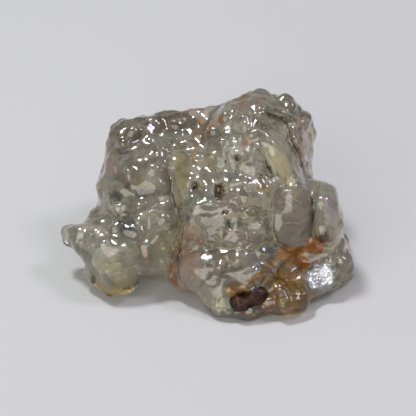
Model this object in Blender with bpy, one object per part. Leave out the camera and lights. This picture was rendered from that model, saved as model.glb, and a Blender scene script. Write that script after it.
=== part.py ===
"""Hyalite opal: a glassy, lumpy nodule of clear opal about 30 mm wide, resting on small flat spots.

The opal grew as one mass, so it is one solid. A grain of dark ironstone sits in a socket low on
its front and is a solid of its own. X runs across the stone, Y runs back from the show face and
Z is up. The origin is under the middle of the stone, on the surface that it rests on.

The stone is designed in millimetres in a frame whose Z = 0 is the surface that it rests on. The show
face leans back by SHOW_FACE_TILT. Places on it are given across it and up it, as they look to
someone at VIEW_DISTANCE. The finished meshes are brought to the stone's width and turned into metres.
"""

import math
import random
from typing import NamedTuple

import bmesh
import bpy
import numpy as np
from mathutils import Euler, Vector, kdtree, noise

MM = 0.001

# Driving dimensions
STONE_WIDTH = 30.0
SHOW_FACE_TILT = math.radians(35.0)
VIEW_DISTANCE = 178.0
VIEW_CENTRE = (0.2, 0.0, 6.6)

# How the lumps run into one another, and how finely the stone is faceted
BLEND = 0.30
FUSE_VOXEL = 0.34
SETTLE_STEPS = 10
OPAL_TRIANGLES = 9000
SEED = 29

# Uneven swells: the height of each and how many there are to a millimetre
SWELLS = ((0.30, 0.32), (0.18, 0.85))

# Small round growths scattered all over the stone, and how far their middle height lifts it
GROWTH_COUNT = 1300
GROWTH_RADIUS = (0.75, 1.5)
GROWTH_RISE = 0.42
GROWTH_SPACING = 1.25
GROWTH_MEAN = 0.33

# How far from its place on the show face a knob may settle
KNOB_SEARCH = 0.4

# The clear space between the ironstone grain and its socket
SOCKET_GAP = 0.3


class Lump(NamedTuple):
    """An ellipsoid of opal: its centre, its three radii, and how far it leans clockwise in degrees."""

    centre: tuple
    radii: tuple
    lean: float = 0.0


class Knob(NamedTuple):
    """A small round growth on the show face: its place, its radius and how far it stands out."""

    place: tuple
    radius: float
    rise: float


class Relief(NamedTuple):
    """A swell or hollow on the show face: its place, half sizes, height and turn in degrees."""

    place: tuple
    half: tuple
    height: float
    turn: float = 0.0


class Groove(NamedTuple):
    """A crease on the show face: the points it runs through, its half width and its depth."""

    path: tuple
    half_width: float
    depth: float


# The stone's main masses
CORE = (
    Lump((3.0, 0.2, 5.8), (8.0, 7.2, 6.3)),
    Lump((-5.6, 2.4, 6.6), (5.5, 6.0, 5.2)),
    Lump((5.2, 2.0, 11.2), (4.8, 4.4, 4.5)),
    Lump((3.4, -3.8, 3.6), (6.0, 4.5, 4.2)),
    Lump((-1.0, 1.0, 8.4), (3.6, 4.2, 3.8)),
    Lump((10.4, -0.5, 4.6), (3.4, 4.6, 4.3)),
)

# The lobe that reaches forward and left, with its pointed tip
LEFT_LOBE = (
    Lump((-9.1, -4.6, 3.8), (2.9, 3.0, 3.5)),
    Lump((-9.1, -5.1, 1.5), (2.5, 2.2, 2.0)),
    Lump((-11.2, -4.6, 2.3), (1.3, 1.5, 1.6)),
    Lump((-13.7, -1.7, 4.5), (1.2, 1.3, 1.2)),
    Lump((-11.7, -2.6, 4.4), (2.2, 2.3, 2.0)),
    Lump((-10.4, -0.8, 5.1), (2.0, 2.4, 2.0)),
    Lump((-6.4, -4.4, 4.4), (2.2, 2.2, 2.3)),
    Lump((-4.3, -3.6, 4.4), (2.8, 2.9, 3.1)),
)

# The upper left body and the knobs along its far edge
LEFT_BODY = (
    Lump((-8.2, 4.6, 9.6), (2.3, 2.8, 2.4)),
    Lump((-8.4, 5.4, 11.7), (1.9, 2.0, 1.8)),
    Lump((-8.8, 2.6, 7.5), (2.1, 2.8, 2.7)),
    Lump((-6.7, 6.4, 12.0), (1.6, 1.8, 1.5)),
    Lump((-4.9, 6.9, 12.0), (1.6, 1.8, 1.5)),
    Lump((-2.9, 7.2, 12.0), (1.6, 1.7, 1.5)),
    Lump((-1.2, 7.6, 12.3), (1.5, 1.7, 1.4)),
    Lump((0.8, 7.5, 12.6), (1.6, 1.7, 1.4)),
    Lump((-6.2, 3.4, 9.9), (2.5, 2.5, 2.3)),
    Lump((-3.6, 3.8, 10.2), (2.3, 2.5, 2.1)),
    Lump((-1.4, 5.0, 11.0), (2.4, 2.2, 2.0)),
    Lump((-6.8, 0.6, 8.0), (2.4, 2.2, 2.3)),
    Lump((-4.8, 0.2, 7.8), (1.8, 2.0, 2.0)),
    Lump((-6.4, -2.4, 6.5), (1.9, 1.8, 1.6)),
    Lump((-4.2, -2.6, 6.8), (1.5, 1.8, 1.7)),
)

# The summit ridge, its knobs and the lobe behind it on the right
SUMMIT = (
    Lump((4.7, 4.4, 14.1), (3.5, 3.3, 2.7)),
    Lump((5.4, 6.0, 15.5), (2.0, 1.8, 1.2), 8.0),
    Lump((8.3, 6.0, 14.8), (1.7, 1.8, 1.3)),
    Lump((3.0, 6.6, 13.6), (1.7, 1.8, 1.4)),
    Lump((9.2, 6.6, 13.0), (1.8, 1.9, 1.7)),
    Lump((9.1, 6.8, 10.4), (2.1, 3.3, 3.6)),
    Lump((9.4, 5.8, 7.4), (2.0, 2.8, 2.8)),
    Lump((7.9, 2.6, 12.0), (2.0, 2.6, 2.9), -20.0),
    Lump((5.4, 0.6, 12.6), (2.4, 2.4, 2.6)),
    Lump((2.6, 1.4, 12.2), (2.2, 2.4, 2.4)),
    Lump((1.4, 5.2, 12.2), (2.0, 2.2, 1.9)),
    Lump((2.4, 6.8, 11.3), (2.4, 2.2, 2.3)),
)

# The clear domes down the right side, the rib above them and the lobe with the corner point
RIGHT_DOMES = (
    Lump((7.5, 1.0, 11.4), (1.1, 2.1, 3.0), -32.0),
    Lump((8.7, -2.8, 7.9), (2.0, 2.4, 3.9)),
    Lump((10.8, -1.3, 7.2), (1.8, 2.4, 3.0)),
    Lump((11.6, -1.8, 7.8), (2.2, 2.8, 3.1), -8.0),
    Lump((12.5, -2.2, 4.6), (1.8, 2.7, 3.0), -8.0),
    Lump((13.4, -2.8, 2.4), (1.5, 2.4, 2.2)),
    Lump((14.2, -3.9, 1.4), (1.1, 1.3, 1.1)),
    Lump((12.0, -5.8, 2.1), (1.9, 1.7, 1.8)),
    Lump((12.0, -4.2, 6.3), (1.2, 1.3, 1.1)),
)

# The face between the crease and the domes, the small domes on it and the foot below
FRONT = (
    Lump((3.6, -1.2, 8.6), (4.4, 4.2, 4.0)),
    Lump((-2.2, -4.8, 2.5), (2.0, 2.4, 2.4)),
    Lump((0.4, -7.2, 2.5), (1.9, 2.0, 1.9)),
    Lump((-1.0, -6.2, 3.3), (1.7, 1.7, 1.9)),
    Lump((1.3, -7.2, 4.5), (1.3, 1.4, 1.3)),
    Lump((3.1, -7.6, 5.0), (1.1, 1.2, 1.1)),
    Lump((5.2, -7.4, 4.2), (1.5, 1.5, 1.4)),
    Lump((3.2, -7.9, 1.2), (3.4, 2.8, 2.2)),
    Lump((7.4, -7.5, 1.3), (3.3, 2.8, 2.2)),
    Lump((9.6, -6.6, 1.6), (2.0, 2.0, 1.9)),
    Lump((4.2, -7.5, 3.1), (2.4, 1.8, 1.5)),
)

# The far side, which the show face hides
BACK = (
    Lump((0.5, 6.2, 5.4), (8.2, 4.2, 5.6)),
    Lump((-5.6, 6.6, 5.8), (3.8, 3.4, 4.6)),
    Lump((6.0, 7.2, 5.0), (3.8, 3.2, 4.0)),
    Lump((-2.0, 8.6, 4.0), (3.0, 2.0, 3.0)),
    Lump((11.0, 3.4, 3.6), (2.4, 3.2, 3.0)),
    Lump((-9.4, 3.8, 4.0), (2.2, 3.0, 3.0)),
    Lump((3.0, 8.6, 9.0), (2.6, 1.8, 2.6)),
    Lump((6.2, 7.0, 10.6), (2.6, 2.4, 3.2)),
    Lump((9.0, 2.6, 8.8), (2.0, 3.0, 3.0)),
    Lump((-6.4, 8.4, 8.0), (2.4, 1.8, 2.2)),
    Lump((-1.8, 9.0, 8.4), (2.4, 1.5, 2.0)),
    Lump((7.4, 9.2, 3.4), (2.2, 1.6, 1.9)),
)

LUMPS = CORE + LEFT_LOBE + LEFT_BODY + SUMMIT + RIGHT_DOMES + FRONT + BACK

# Knobs on the upper left body, on the shelf below it, around the summit and on the foot
KNOBS = (
    Knob((-8.6, 12.6), 1.2, 0.35),
    Knob((-7.1, 13.5), 1.1, 0.35),
    Knob((-5.4, 12.9), 1.0, 0.35),
    Knob((-4.3, 12.0), 0.9, 0.35),
    Knob((-5.2, 11.4), 1.0, 0.30),
    Knob((-5.1, 10.0), 1.2, 0.30),
    Knob((-7.0, 5.7), 1.3, 0.50),
    Knob((-9.5, 5.4), 1.2, 0.45),
    Knob((-9.1, 3.9), 1.2, 0.45),
    Knob((-7.4, 3.7), 1.3, 0.55),
    Knob((-4.5, 4.6), 1.4, 0.55),
    Knob((-11.4, 3.2), 1.1, 0.40),
    Knob((1.5, 15.2), 1.1, 0.35),
    Knob((3.8, 15.3), 0.9, 0.35),
    Knob((6.0, 16.0), 1.0, 0.30),
    Knob((5.9, 14.6), 1.1, 0.45),
    Knob((4.0, 14.4), 1.0, 0.40),
    Knob((4.5, 13.2), 1.0, 0.40),
    Knob((0.2, 13.6), 0.9, 0.40),
    Knob((1.7, 12.6), 1.0, 0.40),
    Knob((5.2, 11.7), 1.0, 0.40),
    Knob((-1.0, 11.3), 0.9, 0.40),
    Knob((0.1, 10.9), 0.9, 0.35),
    Knob((12.0, 6.4), 1.1, 0.25),
    Knob((2.0, -2.6), 1.1, 0.35),
    Knob((8.6, -4.4), 1.2, 0.40),
    Knob((10.4, -3.4), 1.0, 0.40),
)

# Stretches of the show face that are smooth between their edges
CALM = (
    Relief((8.8, 4.9), (2.1, 3.6), 1.0),
    Relief((12.5, 5.2), (2.1, 2.9), 1.0),
    Relief((7.8, 9.5), (1.2, 2.0), 1.0, 56.0),
    Relief((-6.6, 8.6), (3.6, 3.2), 0.8),
    Relief((-9.0, -0.6), (2.2, 1.6), 0.8),
    Relief((-1.0, -0.9), (1.5, 1.6), 0.8),
)

# Swells and hollows: two round pits, two cracks, the rough patch, the conchoidal scar and the hollows
HOLLOWS = (
    Relief((-1.1, 7.7), (0.42, 0.55), -0.80),
    Relief((1.25, 7.2), (0.46, 0.80), -0.90),
    Relief((2.0, 4.9), (0.35, 0.45), -0.45),
    Relief((2.5, 3.8), (0.26, 0.55), -0.45),
    Relief((3.2, 10.5), (0.42, 0.36), -0.60),
    Relief((3.0, 11.5), (1.7, 1.1), -0.30, 20.0),
    Relief((-9.0, -0.8), (1.5, 1.1), -0.45),
    Relief((-7.3, 8.3), (0.6, 1.6), -0.30),
    Relief((11.8, -1.65), (1.3, 1.2), -0.35),
    Relief((9.0, -1.6), (1.5, 1.1), -0.60),
    Relief((-0.6, 2.6), (1.4, 1.0), -0.25),
)

# The long crease down the middle, the arc below the summit, the cracks beside the rib and the
# domes, the lip over the small domes and the creases between them, and the ledge over the left lobe
GROOVES = (
    Groove(((-4.1, 9.6), (-3.6, 8.0), (-3.4, 6.2), (-2.8, 4.4), (-2.6, 2.4), (-2.9, 0.2), (-3.6, -1.8)), 0.40, 0.85),
    Groove(((6.4, 15.1), (7.7, 14.6), (8.5, 13.5), (8.7, 12.4), (9.6, 10.9), (10.0, 9.5)), 0.32, 0.60),
    Groove(((6.0, 11.4), (6.2, 10.5), (7.0, 8.4)), 0.30, 0.60),
    Groove(((8.2, 8.3), (7.0, 7.2), (6.6, 5.6), (6.6, 3.2), (7.2, 1.8), (8.4, 1.2)), 0.30, 0.45),
    Groove(((10.9, 7.0), (10.95, 4.6), (11.0, 2.4)), 0.28, 0.50),
    Groove(((-2.6, 0.6), (-1.2, 1.1), (0.6, 1.1), (2.2, 1.2), (4.2, 1.0), (5.8, 0.2)), 0.28, 0.45),
    Groove(((0.5, 1.0), (0.8, -0.4), (0.4, -2.0)), 0.30, 0.45),
    Groove(((2.4, 1.0), (2.4, -0.4), (2.0, -1.4)), 0.26, 0.35),
    Groove(((0.6, -1.6), (2.4, -1.4), (4.2, -1.0), (5.2, -0.2)), 0.30, 0.50),
    Groove(((-12.2, 5.0), (-10.4, 4.9), (-8.4, 4.8), (-5.8, 5.2), (-4.6, 6.2)), 0.36, 0.45),
    Groove(((-4.2, 13.6), (-2.6, 13.0), (-1.2, 13.4), (0.4, 14.4)), 0.36, 0.40),
    Groove(((6.4, -3.6), (7.2, -2.2), (8.6, -0.2), (10.4, 1.0)), 0.34, 0.40),
)

# The ironstone grain, a lump of three low on the front
GRAIN = (
    Lump((4.9, -8.75, 2.35), (1.05, 1.2, 0.82), -18.0),
    Lump((4.1, -9.1, 2.15), (0.90, 1.1, 0.76), -14.0),
    Lump((3.4, -9.5, 1.95), (0.90, 1.1, 0.78), -10.0),
)
GRAIN_BLEND = 0.16
GRAIN_VOXEL = 0.24
GRAIN_TRIANGLES = 400


def clear_scene():
    """Removes every object, so that the script can be run again."""
    for obj in list(bpy.data.objects):
        bpy.data.objects.remove(obj)


def evaluated_copy(obj):
    """The object's mesh as its modifiers leave it."""
    bpy.context.view_layer.update()
    graph = bpy.context.evaluated_depsgraph_get()
    return bpy.data.meshes.new_from_object(obj.evaluated_get(graph))


def apply_modifiers(obj):
    """Replaces the object's mesh by its evaluated mesh and drops the modifiers."""
    mesh = evaluated_copy(obj)
    obj.modifiers.clear()
    old = obj.data
    obj.data = mesh
    bpy.data.meshes.remove(old)


def vertex_array(mesh):
    """The mesh's vertices as an N by 3 array."""
    points = np.empty(len(mesh.vertices) * 3)
    mesh.vertices.foreach_get("co", points)
    return points.reshape(-1, 3)


def normal_array(mesh):
    """The mesh's vertex normals as an N by 3 array."""
    normals = np.empty(len(mesh.vertices) * 3)
    mesh.vertex_normals.foreach_get("vector", normals)
    return normals.reshape(-1, 3)


def set_vertices(mesh, points):
    """Writes the array back to the mesh."""
    mesh.vertices.foreach_set("co", points.astype(np.float32).ravel())
    mesh.update()


def lump_axes(lump):
    """The lump's own axes as the columns of a matrix."""
    return np.array(Euler((0.0, math.radians(lump.lean), 0.0)).to_matrix())


def lump_distance(points, lump):
    """Distance outside the lump's surface, and the way out of it, for each point."""
    axes = lump_axes(lump)
    radii = np.array(lump.radii)
    local = (points - np.array(lump.centre)) @ axes
    reach = np.linalg.norm(local / radii, axis=1) + 1e-9
    slope = local / radii**2
    steepness = np.linalg.norm(slope, axis=1) + 1e-9
    return reach * (reach - 1.0) / steepness, (slope / steepness[:, None]) @ axes.T


def blended_distance(points, lumps, blend):
    """Distance outside the blended lumps, and the way out of them, for each point."""
    found = [lump_distance(points, lump) for lump in lumps]
    distances = np.array([distance for distance, _ in found])
    nearest = distances.min(axis=0)
    weights = np.exp(-(distances - nearest) / blend)
    ways = np.array([way for _, way in found])
    way = (weights[:, :, None] * ways).sum(axis=0)
    way /= np.linalg.norm(way, axis=1)[:, None] + 1e-9
    return nearest - blend * np.log(weights.sum(axis=0)), way


def edge_pairs(mesh):
    """The two vertex numbers of each edge."""
    pairs = np.empty(len(mesh.edges) * 2, np.int32)
    mesh.edges.foreach_get("vertices", pairs)
    return pairs.reshape(-1, 2)


def evened(points, pairs, share):
    """The points moved part of the way to the average of their neighbours."""
    total = np.zeros_like(points)
    count = np.zeros(len(points))
    for one, other in ((0, 1), (1, 0)):
        np.add.at(total, pairs[:, one], points[pairs[:, other]])
        np.add.at(count, pairs[:, one], 1.0)
    return points + share * (total / count[:, None] - points)


def fused_lumps(name, lumps, blend, voxel):
    """An object that joins the lumps in one skin, drawn tight over their blended surface."""
    form = bmesh.new()
    for lump in lumps:
        made = bmesh.ops.create_icosphere(form, subdivisions=3, radius=1.0)
        axes = lump_axes(lump)
        for vert in made["verts"]:
            place = axes @ (np.array(vert.co) * np.array(lump.radii)) + np.array(lump.centre)
            vert.co = Vector(place)
    mesh = bpy.data.meshes.new(name)
    form.to_mesh(mesh)
    form.free()
    obj = bpy.data.objects.new(name, mesh)
    bpy.context.scene.collection.objects.link(obj)
    fuse = obj.modifiers.new("fuse", "REMESH")
    fuse.mode = "VOXEL"
    fuse.voxel_size = voxel
    apply_modifiers(obj)
    points = vertex_array(obj.data)
    pairs = edge_pairs(obj.data)
    for _ in range(SETTLE_STEPS):
        points = evened(points, pairs, 0.4)
        distance, way = blended_distance(points, lumps, blend)
        points -= way * distance[:, None]
    set_vertices(obj.data, points)
    return obj


def towards_viewer():
    """The way that the show face faces."""
    return np.array([0.0, -math.cos(SHOW_FACE_TILT), math.sin(SHOW_FACE_TILT)])


def on_show_face(points):
    """Each point's place across the show face and up it, as the viewer sees it."""
    across_and_up = np.array([[1.0, 0.0, 0.0], [0.0, math.sin(SHOW_FACE_TILT), math.cos(SHOW_FACE_TILT)]])
    centre = np.array(VIEW_CENTRE)
    local = points - centre
    looks_larger = VIEW_DISTANCE / (VIEW_DISTANCE - local @ towards_viewer())
    return (across_and_up @ centre) + (local @ across_and_up.T) * looks_larger[:, None]


def show_face_share(normals):
    """1 where the surface faces the viewer of the show face, falling to 0 where it turns away."""
    return np.clip((normals @ towards_viewer()) * 2.5, 0.0, 1.0)


def patch_share(places, patch):
    """1 at the middle of the patch of the show face, falling smoothly to 0 outside it."""
    turn = math.radians(patch.turn)
    across, up = (places - np.array(patch.place)).T
    along = (across * math.cos(turn) + up * math.sin(turn)) / patch.half[0]
    beside = (up * math.cos(turn) - across * math.sin(turn)) / patch.half[1]
    return np.exp(-((along**2 + beside**2) ** 1.5))


def groove_share(places, groove):
    """1 along the crease, falling smoothly to 0 beside it."""
    nearest = np.full(len(places), np.inf)
    for start, end in zip(groove.path, groove.path[1:]):
        start = np.array(start)
        run = np.array(end) - start
        share = np.clip(((places - start) @ run) / (run @ run), 0.0, 1.0)
        gap = np.linalg.norm(places - (start + share[:, None] * run), axis=1)
        nearest = np.minimum(nearest, gap)
    return np.exp(-((nearest / groove.half_width) ** 2))


def scattered_growths(points, rng):
    """Centres, radii and heights of the small round growths, kept apart from one another."""
    chosen = []
    centres = np.full((GROWTH_COUNT, 3), np.inf)
    order = list(range(len(points)))
    rng.shuffle(order)
    for index in order:
        radius = rng.uniform(*GROWTH_RADIUS)
        gap = np.linalg.norm(centres - points[index], axis=1).min()
        if gap > GROWTH_SPACING * radius:
            centres[len(chosen)] = points[index]
            chosen.append((points[index], radius, GROWTH_RISE * radius * rng.uniform(0.6, 1.3)))
        if len(chosen) == GROWTH_COUNT:
            break
    return chosen


def placed_knobs(points):
    """Centres, radii and heights of the knobs, each set on the nearest surface at its place."""
    places = on_show_face(points)
    nearness = points @ towards_viewer()
    found = []
    for knob in KNOBS:
        here = np.linalg.norm(places - np.array(knob.place), axis=1) < KNOB_SEARCH
        front = np.argmax(np.where(here, nearness, -np.inf))
        found.append((points[front], knob.radius, knob.rise))
    return found


def dome_rise(points, domes):
    """How far the domes lift each point: the highest of those that cover it."""
    tree = kdtree.KDTree(len(points))
    for index, point in enumerate(points):
        tree.insert(point, index)
    tree.balance()
    rise = np.zeros(len(points))
    for centre, radius, height in domes:
        for _, index, distance in tree.find_range(centre, radius):
            rise[index] = max(rise[index], height * (1.0 - (distance / radius) ** 2))
    return rise


def swell(points):
    """Gentle uneven swells, so that no lump stays a plain ellipsoid."""
    heights = [sum(high * noise.noise(Vector(point) * often) for high, often in SWELLS) for point in points]
    return np.array(heights)


def add_relief(mesh):
    """Gives the fused stone its small growths, knobs, swells, hollows and creases."""
    points = vertex_array(mesh)
    places = on_show_face(points)
    facing = show_face_share(normal_array(mesh))
    calm = sum(patch_share(places, patch) * patch.height for patch in CALM)
    lively = 1.0 - np.clip(calm, 0.0, 1.0) * facing
    growths = scattered_growths(points, random.Random(SEED))
    lift = (dome_rise(points, growths) - GROWTH_MEAN) * lively
    lift += dome_rise(points, placed_knobs(points)) + swell(points)
    carved = sum(patch_share(places, hollow) * hollow.height for hollow in HOLLOWS)
    carved -= sum(groove_share(places, groove) * groove.depth for groove in GROOVES)
    lift += carved * facing
    set_vertices(mesh, points + normal_array(mesh) * lift[:, None])


def thin_out(obj, triangles):
    """Reduces the object to about that many triangles."""
    obj.data.calc_loop_triangles()
    now = len(obj.data.loop_triangles)
    fewer = obj.modifiers.new("thin out", "DECIMATE")
    fewer.ratio = min(1.0, triangles / now)
    fewer.use_collapse_triangulate = True
    apply_modifiers(obj)


def cut_resting_flats(mesh):
    """Cuts the underside off level, which leaves the small flat spots that the stone rests on."""
    form = bmesh.new()
    form.from_mesh(mesh)
    everything = form.verts[:] + form.edges[:] + form.faces[:]
    cut = bmesh.ops.bisect_plane(
        form, geom=everything, plane_co=(0.0, 0.0, 0.0), plane_no=(0.0, 0.0, 1.0), clear_inner=True
    )
    rim = [item for item in cut["geom_cut"] if isinstance(item, bmesh.types.BMEdge)]
    bmesh.ops.triangle_fill(form, use_beauty=True, edges=rim, normal=(0.0, 0.0, -1.0))
    bmesh.ops.recalc_face_normals(form, faces=form.faces)
    bmesh.ops.triangulate(form, faces=form.faces)
    form.to_mesh(mesh)
    form.free()


def grown(obj, by):
    """A hidden copy of the object, larger all round by that much, to cut a socket with."""
    cutter = bpy.data.objects.new(obj.name + "_socket", obj.data.copy())
    bpy.context.scene.collection.objects.link(cutter)
    points = vertex_array(cutter.data)
    set_vertices(cutter.data, points + normal_array(cutter.data) * by)
    cutter.hide_render = True
    cutter.display_type = "WIRE"
    return cutter


def cut_socket(stone, cutter):
    """Cuts the grain's socket into the stone."""
    cut = stone.modifiers.new("socket", "BOOLEAN")
    cut.operation = "DIFFERENCE"
    cut.solver = "EXACT"
    cut.object = cutter
    apply_modifiers(stone)
    bpy.data.objects.remove(cutter)


def placing(stone):
    """The shift that stands the stone on the origin, and the size that gives it its width."""
    points = vertex_array(stone.data)
    low, high = points.min(axis=0), points.max(axis=0)
    middle = (low + high) / 2.0
    return -np.array([middle[0], middle[1], low[2]]), MM * STONE_WIDTH / (high[0] - low[0])


def finish_mesh(obj, shift, size, material):
    """Moves the mesh into the part's own frame, at its real size, and dresses it."""
    set_vertices(obj.data, (vertex_array(obj.data) + shift) * size)
    obj.data.shade_smooth()
    obj.data.set_sharp_from_angle(angle=math.radians(50.0))
    obj.data.materials.clear()
    obj.data.materials.append(material)


def surface_finish(name, colour, roughness, transmission=0.0, ior=1.5):
    """A plain Principled material."""
    material = bpy.data.materials.new(name)
    material.use_nodes = True
    shader = material.node_tree.nodes["Principled BSDF"]
    shader.inputs["Base Color"].default_value = (*colour, 1.0)
    shader.inputs["Roughness"].default_value = roughness
    shader.inputs["Metallic"].default_value = 0.0
    shader.inputs["Transmission Weight"].default_value = transmission
    shader.inputs["IOR"].default_value = ior
    return material


def main():
    """Builds the opal and the grain that sits in it, and returns where and how they were placed."""
    clear_scene()
    opal = fused_lumps("opal", LUMPS, BLEND, FUSE_VOXEL)
    add_relief(opal.data)
    thin_out(opal, OPAL_TRIANGLES)
    cut_resting_flats(opal.data)

    grain = fused_lumps("ironstone_grain", GRAIN, GRAIN_BLEND, GRAIN_VOXEL)
    thin_out(grain, GRAIN_TRIANGLES)
    cut_socket(opal, grown(grain, SOCKET_GAP))

    shift, size = placing(opal)
    finish_mesh(opal, shift, size, surface_finish("opal_glass", (0.62, 0.58, 0.50), 0.08, 0.7, 1.45))
    finish_mesh(grain, shift, size, surface_finish("ironstone", (0.045, 0.018, 0.012), 0.32))
    return shift, size


main()
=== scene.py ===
"""Hyalite opal: the finished look of the nodule and of the ironstone grain that sits in its foot.

The stone is refined from the solid it stands for. It gets the small round growths, ripples, pits and
sharp creases of the real surface, cracks and cloudy veils inside it and the stains on it, with painted
shade, a painted shadow, painted highlights, a painted reflection and painted glints among them. Places
on the show face are in millimetres across it and up it, as they look to the camera, from a point low
on its middle.
"""

import logging
import math
import random
from dataclasses import dataclass, field
from enum import Enum

import bmesh
import bpy
import numpy as np
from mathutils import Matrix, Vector, kdtree, noise
from mathutils.bvhtree import BVHTree


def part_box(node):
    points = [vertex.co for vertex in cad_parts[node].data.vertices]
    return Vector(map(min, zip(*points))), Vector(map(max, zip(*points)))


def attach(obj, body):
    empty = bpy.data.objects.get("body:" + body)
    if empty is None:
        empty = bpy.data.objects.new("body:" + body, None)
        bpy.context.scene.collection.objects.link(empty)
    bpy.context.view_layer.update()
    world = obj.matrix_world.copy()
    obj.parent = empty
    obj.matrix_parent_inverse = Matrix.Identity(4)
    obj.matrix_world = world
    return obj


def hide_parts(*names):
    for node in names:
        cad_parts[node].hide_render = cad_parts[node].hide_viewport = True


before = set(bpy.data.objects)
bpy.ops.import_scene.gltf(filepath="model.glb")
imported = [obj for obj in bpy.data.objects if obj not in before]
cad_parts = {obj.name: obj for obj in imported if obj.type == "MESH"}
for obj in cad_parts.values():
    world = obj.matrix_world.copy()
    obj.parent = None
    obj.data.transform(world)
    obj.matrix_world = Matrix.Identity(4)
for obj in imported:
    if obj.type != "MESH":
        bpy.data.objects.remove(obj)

MM = 0.001
WELD = 0.00001 * MM
BEAD_SEARCH = 0.35
EVENING_SHARE = 0.5
PATCH_EDGE = 1.5
FRACTAL_FADE = 1.0
FRACTAL_STEP = 2.0
FLAKE_LEAN_SEED = 7.3
FLAKE_LEVEL_SEED = 5.1
DOME_VARIETY = (0.5, 1.4)
CORNER_CUT = 0.25
CORNER_ROUNDS = 2
FILM_WRINKLE = 0.22
BODY = "root"

log = logging.getLogger("hyalite")

Place = tuple[float, float]
Path = tuple[Place, ...]
Point = tuple[float, float, float]
Span = tuple[float, float]
Colour = tuple[float, float, float]
Box = tuple[Vector, Vector]
Socket = bpy.types.NodeSocket


@dataclass(frozen=True)
class ShowFace:
    """How the stone's show face is looked at, in the millimetres that the stone was designed in."""

    tilt: float = math.radians(35.0)
    eye_distance: float = 178.0
    centre: Point = (0.2, 0.0, 6.6)
    shift: Point = (-0.2054, -0.1800, 0.0)
    size: float = 0.98789
    width_in_view: float = 42.72
    lens: float = 150.0
    sensor: float = 36.0
    nearest: float = 10.0
    facing_gain: float = 2.5
    facing_least: float = 0.15

    def towards_eye(self) -> np.ndarray:
        """The way that the show face faces."""
        return np.array([0.0, -math.cos(self.tilt), math.sin(self.tilt)])

    def across_and_up(self) -> np.ndarray:
        """The two ways along the show face, as rows."""
        return np.array([[1.0, 0.0, 0.0], [0.0, math.sin(self.tilt), math.cos(self.tilt)]])

    def places(self, points: np.ndarray) -> np.ndarray:
        """Where each point lies on the show face.

        Args:
            points: N by 3 points in the row frame, in millimetres.

        Returns:
            N by 2 places, across and up.
        """
        centre, ways = np.array(self.centre), self.across_and_up()
        local = points / self.size - np.array(self.shift) - centre
        looks_larger = self.eye_distance / (self.eye_distance - local @ self.towards_eye())
        return ways @ centre + (local @ ways.T) * looks_larger[:, None]

    def facing(self, normals: np.ndarray) -> np.ndarray:
        """1 where the surface faces the eye, falling to 0 where it turns away."""
        return np.clip(normals @ self.towards_eye() * self.facing_gain + self.facing_least, 0.0, 1.0)

    def sight_line(self, place: Place) -> tuple[Vector, Vector]:
        """The line from the eye through a place on the show face.

        Args:
            place: the place.

        Returns:
            The eye and the way that the line runs, in the row frame, in millimetres.
        """
        centre, ways = np.array(self.centre), self.across_and_up()
        offset = np.array(place) - ways @ centre
        eye = (centre + self.towards_eye() * self.eye_distance + np.array(self.shift)) * self.size
        aim = (centre + offset @ ways + np.array(self.shift)) * self.size
        return Vector(eye), Vector(aim - eye).normalized()

    def camera(self) -> None:
        """Makes the camera that looks at the show face."""
        camera = bpy.data.objects.new("camera", bpy.data.cameras.new("camera"))
        camera.data.lens = self.lens
        camera.data.sensor_width = self.sensor
        camera.data.clip_start = self.nearest * MM
        distance = self.width_in_view * self.size / self.sensor * self.lens * MM
        target = (np.array(self.centre) + np.array(self.shift)) * self.size * MM
        back = Vector(self.towards_eye())
        camera.location = Vector(target) + back * distance
        camera.rotation_mode = "QUATERNION"
        camera.rotation_quaternion = (-back).to_track_quat("-Z", "Y")
        bpy.context.scene.collection.objects.link(camera)
        bpy.context.scene.camera = camera


SHOW_FACE = ShowFace()


@dataclass(frozen=True)
class Patch:
    """A soft-edged oval on the show face, full at its middle."""

    place: Place
    half: Place
    strength: float = 1.0
    turn: float = 0.0

    def share(self, places: np.ndarray) -> np.ndarray:
        """How strongly the patch covers each place.

        Args:
            places: N by 2 places.

        Returns:
            N shares.
        """
        turn = math.radians(self.turn)
        across, up = (places - np.array(self.place)).T
        along = (across * math.cos(turn) + up * math.sin(turn)) / self.half[0]
        beside = (up * math.cos(turn) - across * math.sin(turn)) / self.half[1]
        return self.strength * np.exp(-((along**2 + beside**2) ** PATCH_EDGE))


@dataclass(frozen=True)
class Stroke:
    """A soft-edged line on the show face, full along its path."""

    path: Path
    half_width: float
    strength: float = 1.0

    def share(self, places: np.ndarray) -> np.ndarray:
        """How strongly the stroke covers each place.

        Args:
            places: N by 2 places.

        Returns:
            N shares.
        """
        nearest = np.full(len(places), np.inf)
        for start, end in zip(self.path, self.path[1:]):
            run = np.array(end) - np.array(start)
            along = np.clip(((places - np.array(start)) @ run) / (run @ run), 0.0, 1.0)
            gap = np.linalg.norm(places - (np.array(start) + along[:, None] * run), axis=1)
            nearest = np.minimum(nearest, gap)
        return self.strength * np.exp(-((nearest / self.half_width) ** 2))


Mark = Patch | Stroke


def covered(places: np.ndarray, marks: tuple[Mark, ...]) -> np.ndarray:
    """How strongly the strongest of the marks covers each place."""
    return np.max([mark.share(places) for mark in marks], axis=0)


def gathered(items: bpy.types.bpy_prop_collection, label: str, width: int, kind: type = float) -> np.ndarray:
    """Reads one property of all items.

    Args:
        items: the items, such as a mesh's vertices.
        label: the property.
        width: how many values it has.
        kind: their type.

    Returns:
        A row of values for each item.
    """
    values = np.empty(len(items) * width, kind)
    items.foreach_get(label, values)
    return values.reshape(-1, width)


def vertex_array(mesh: bpy.types.Mesh) -> np.ndarray:
    """The mesh's vertices, as N by 3 points in millimetres."""
    return gathered(mesh.vertices, "co", 3) / MM


def edge_pairs(mesh: bpy.types.Mesh) -> np.ndarray:
    """The two vertex numbers of each of the mesh's edges."""
    return gathered(mesh.edges, "vertices", 2, np.int32)


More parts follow.
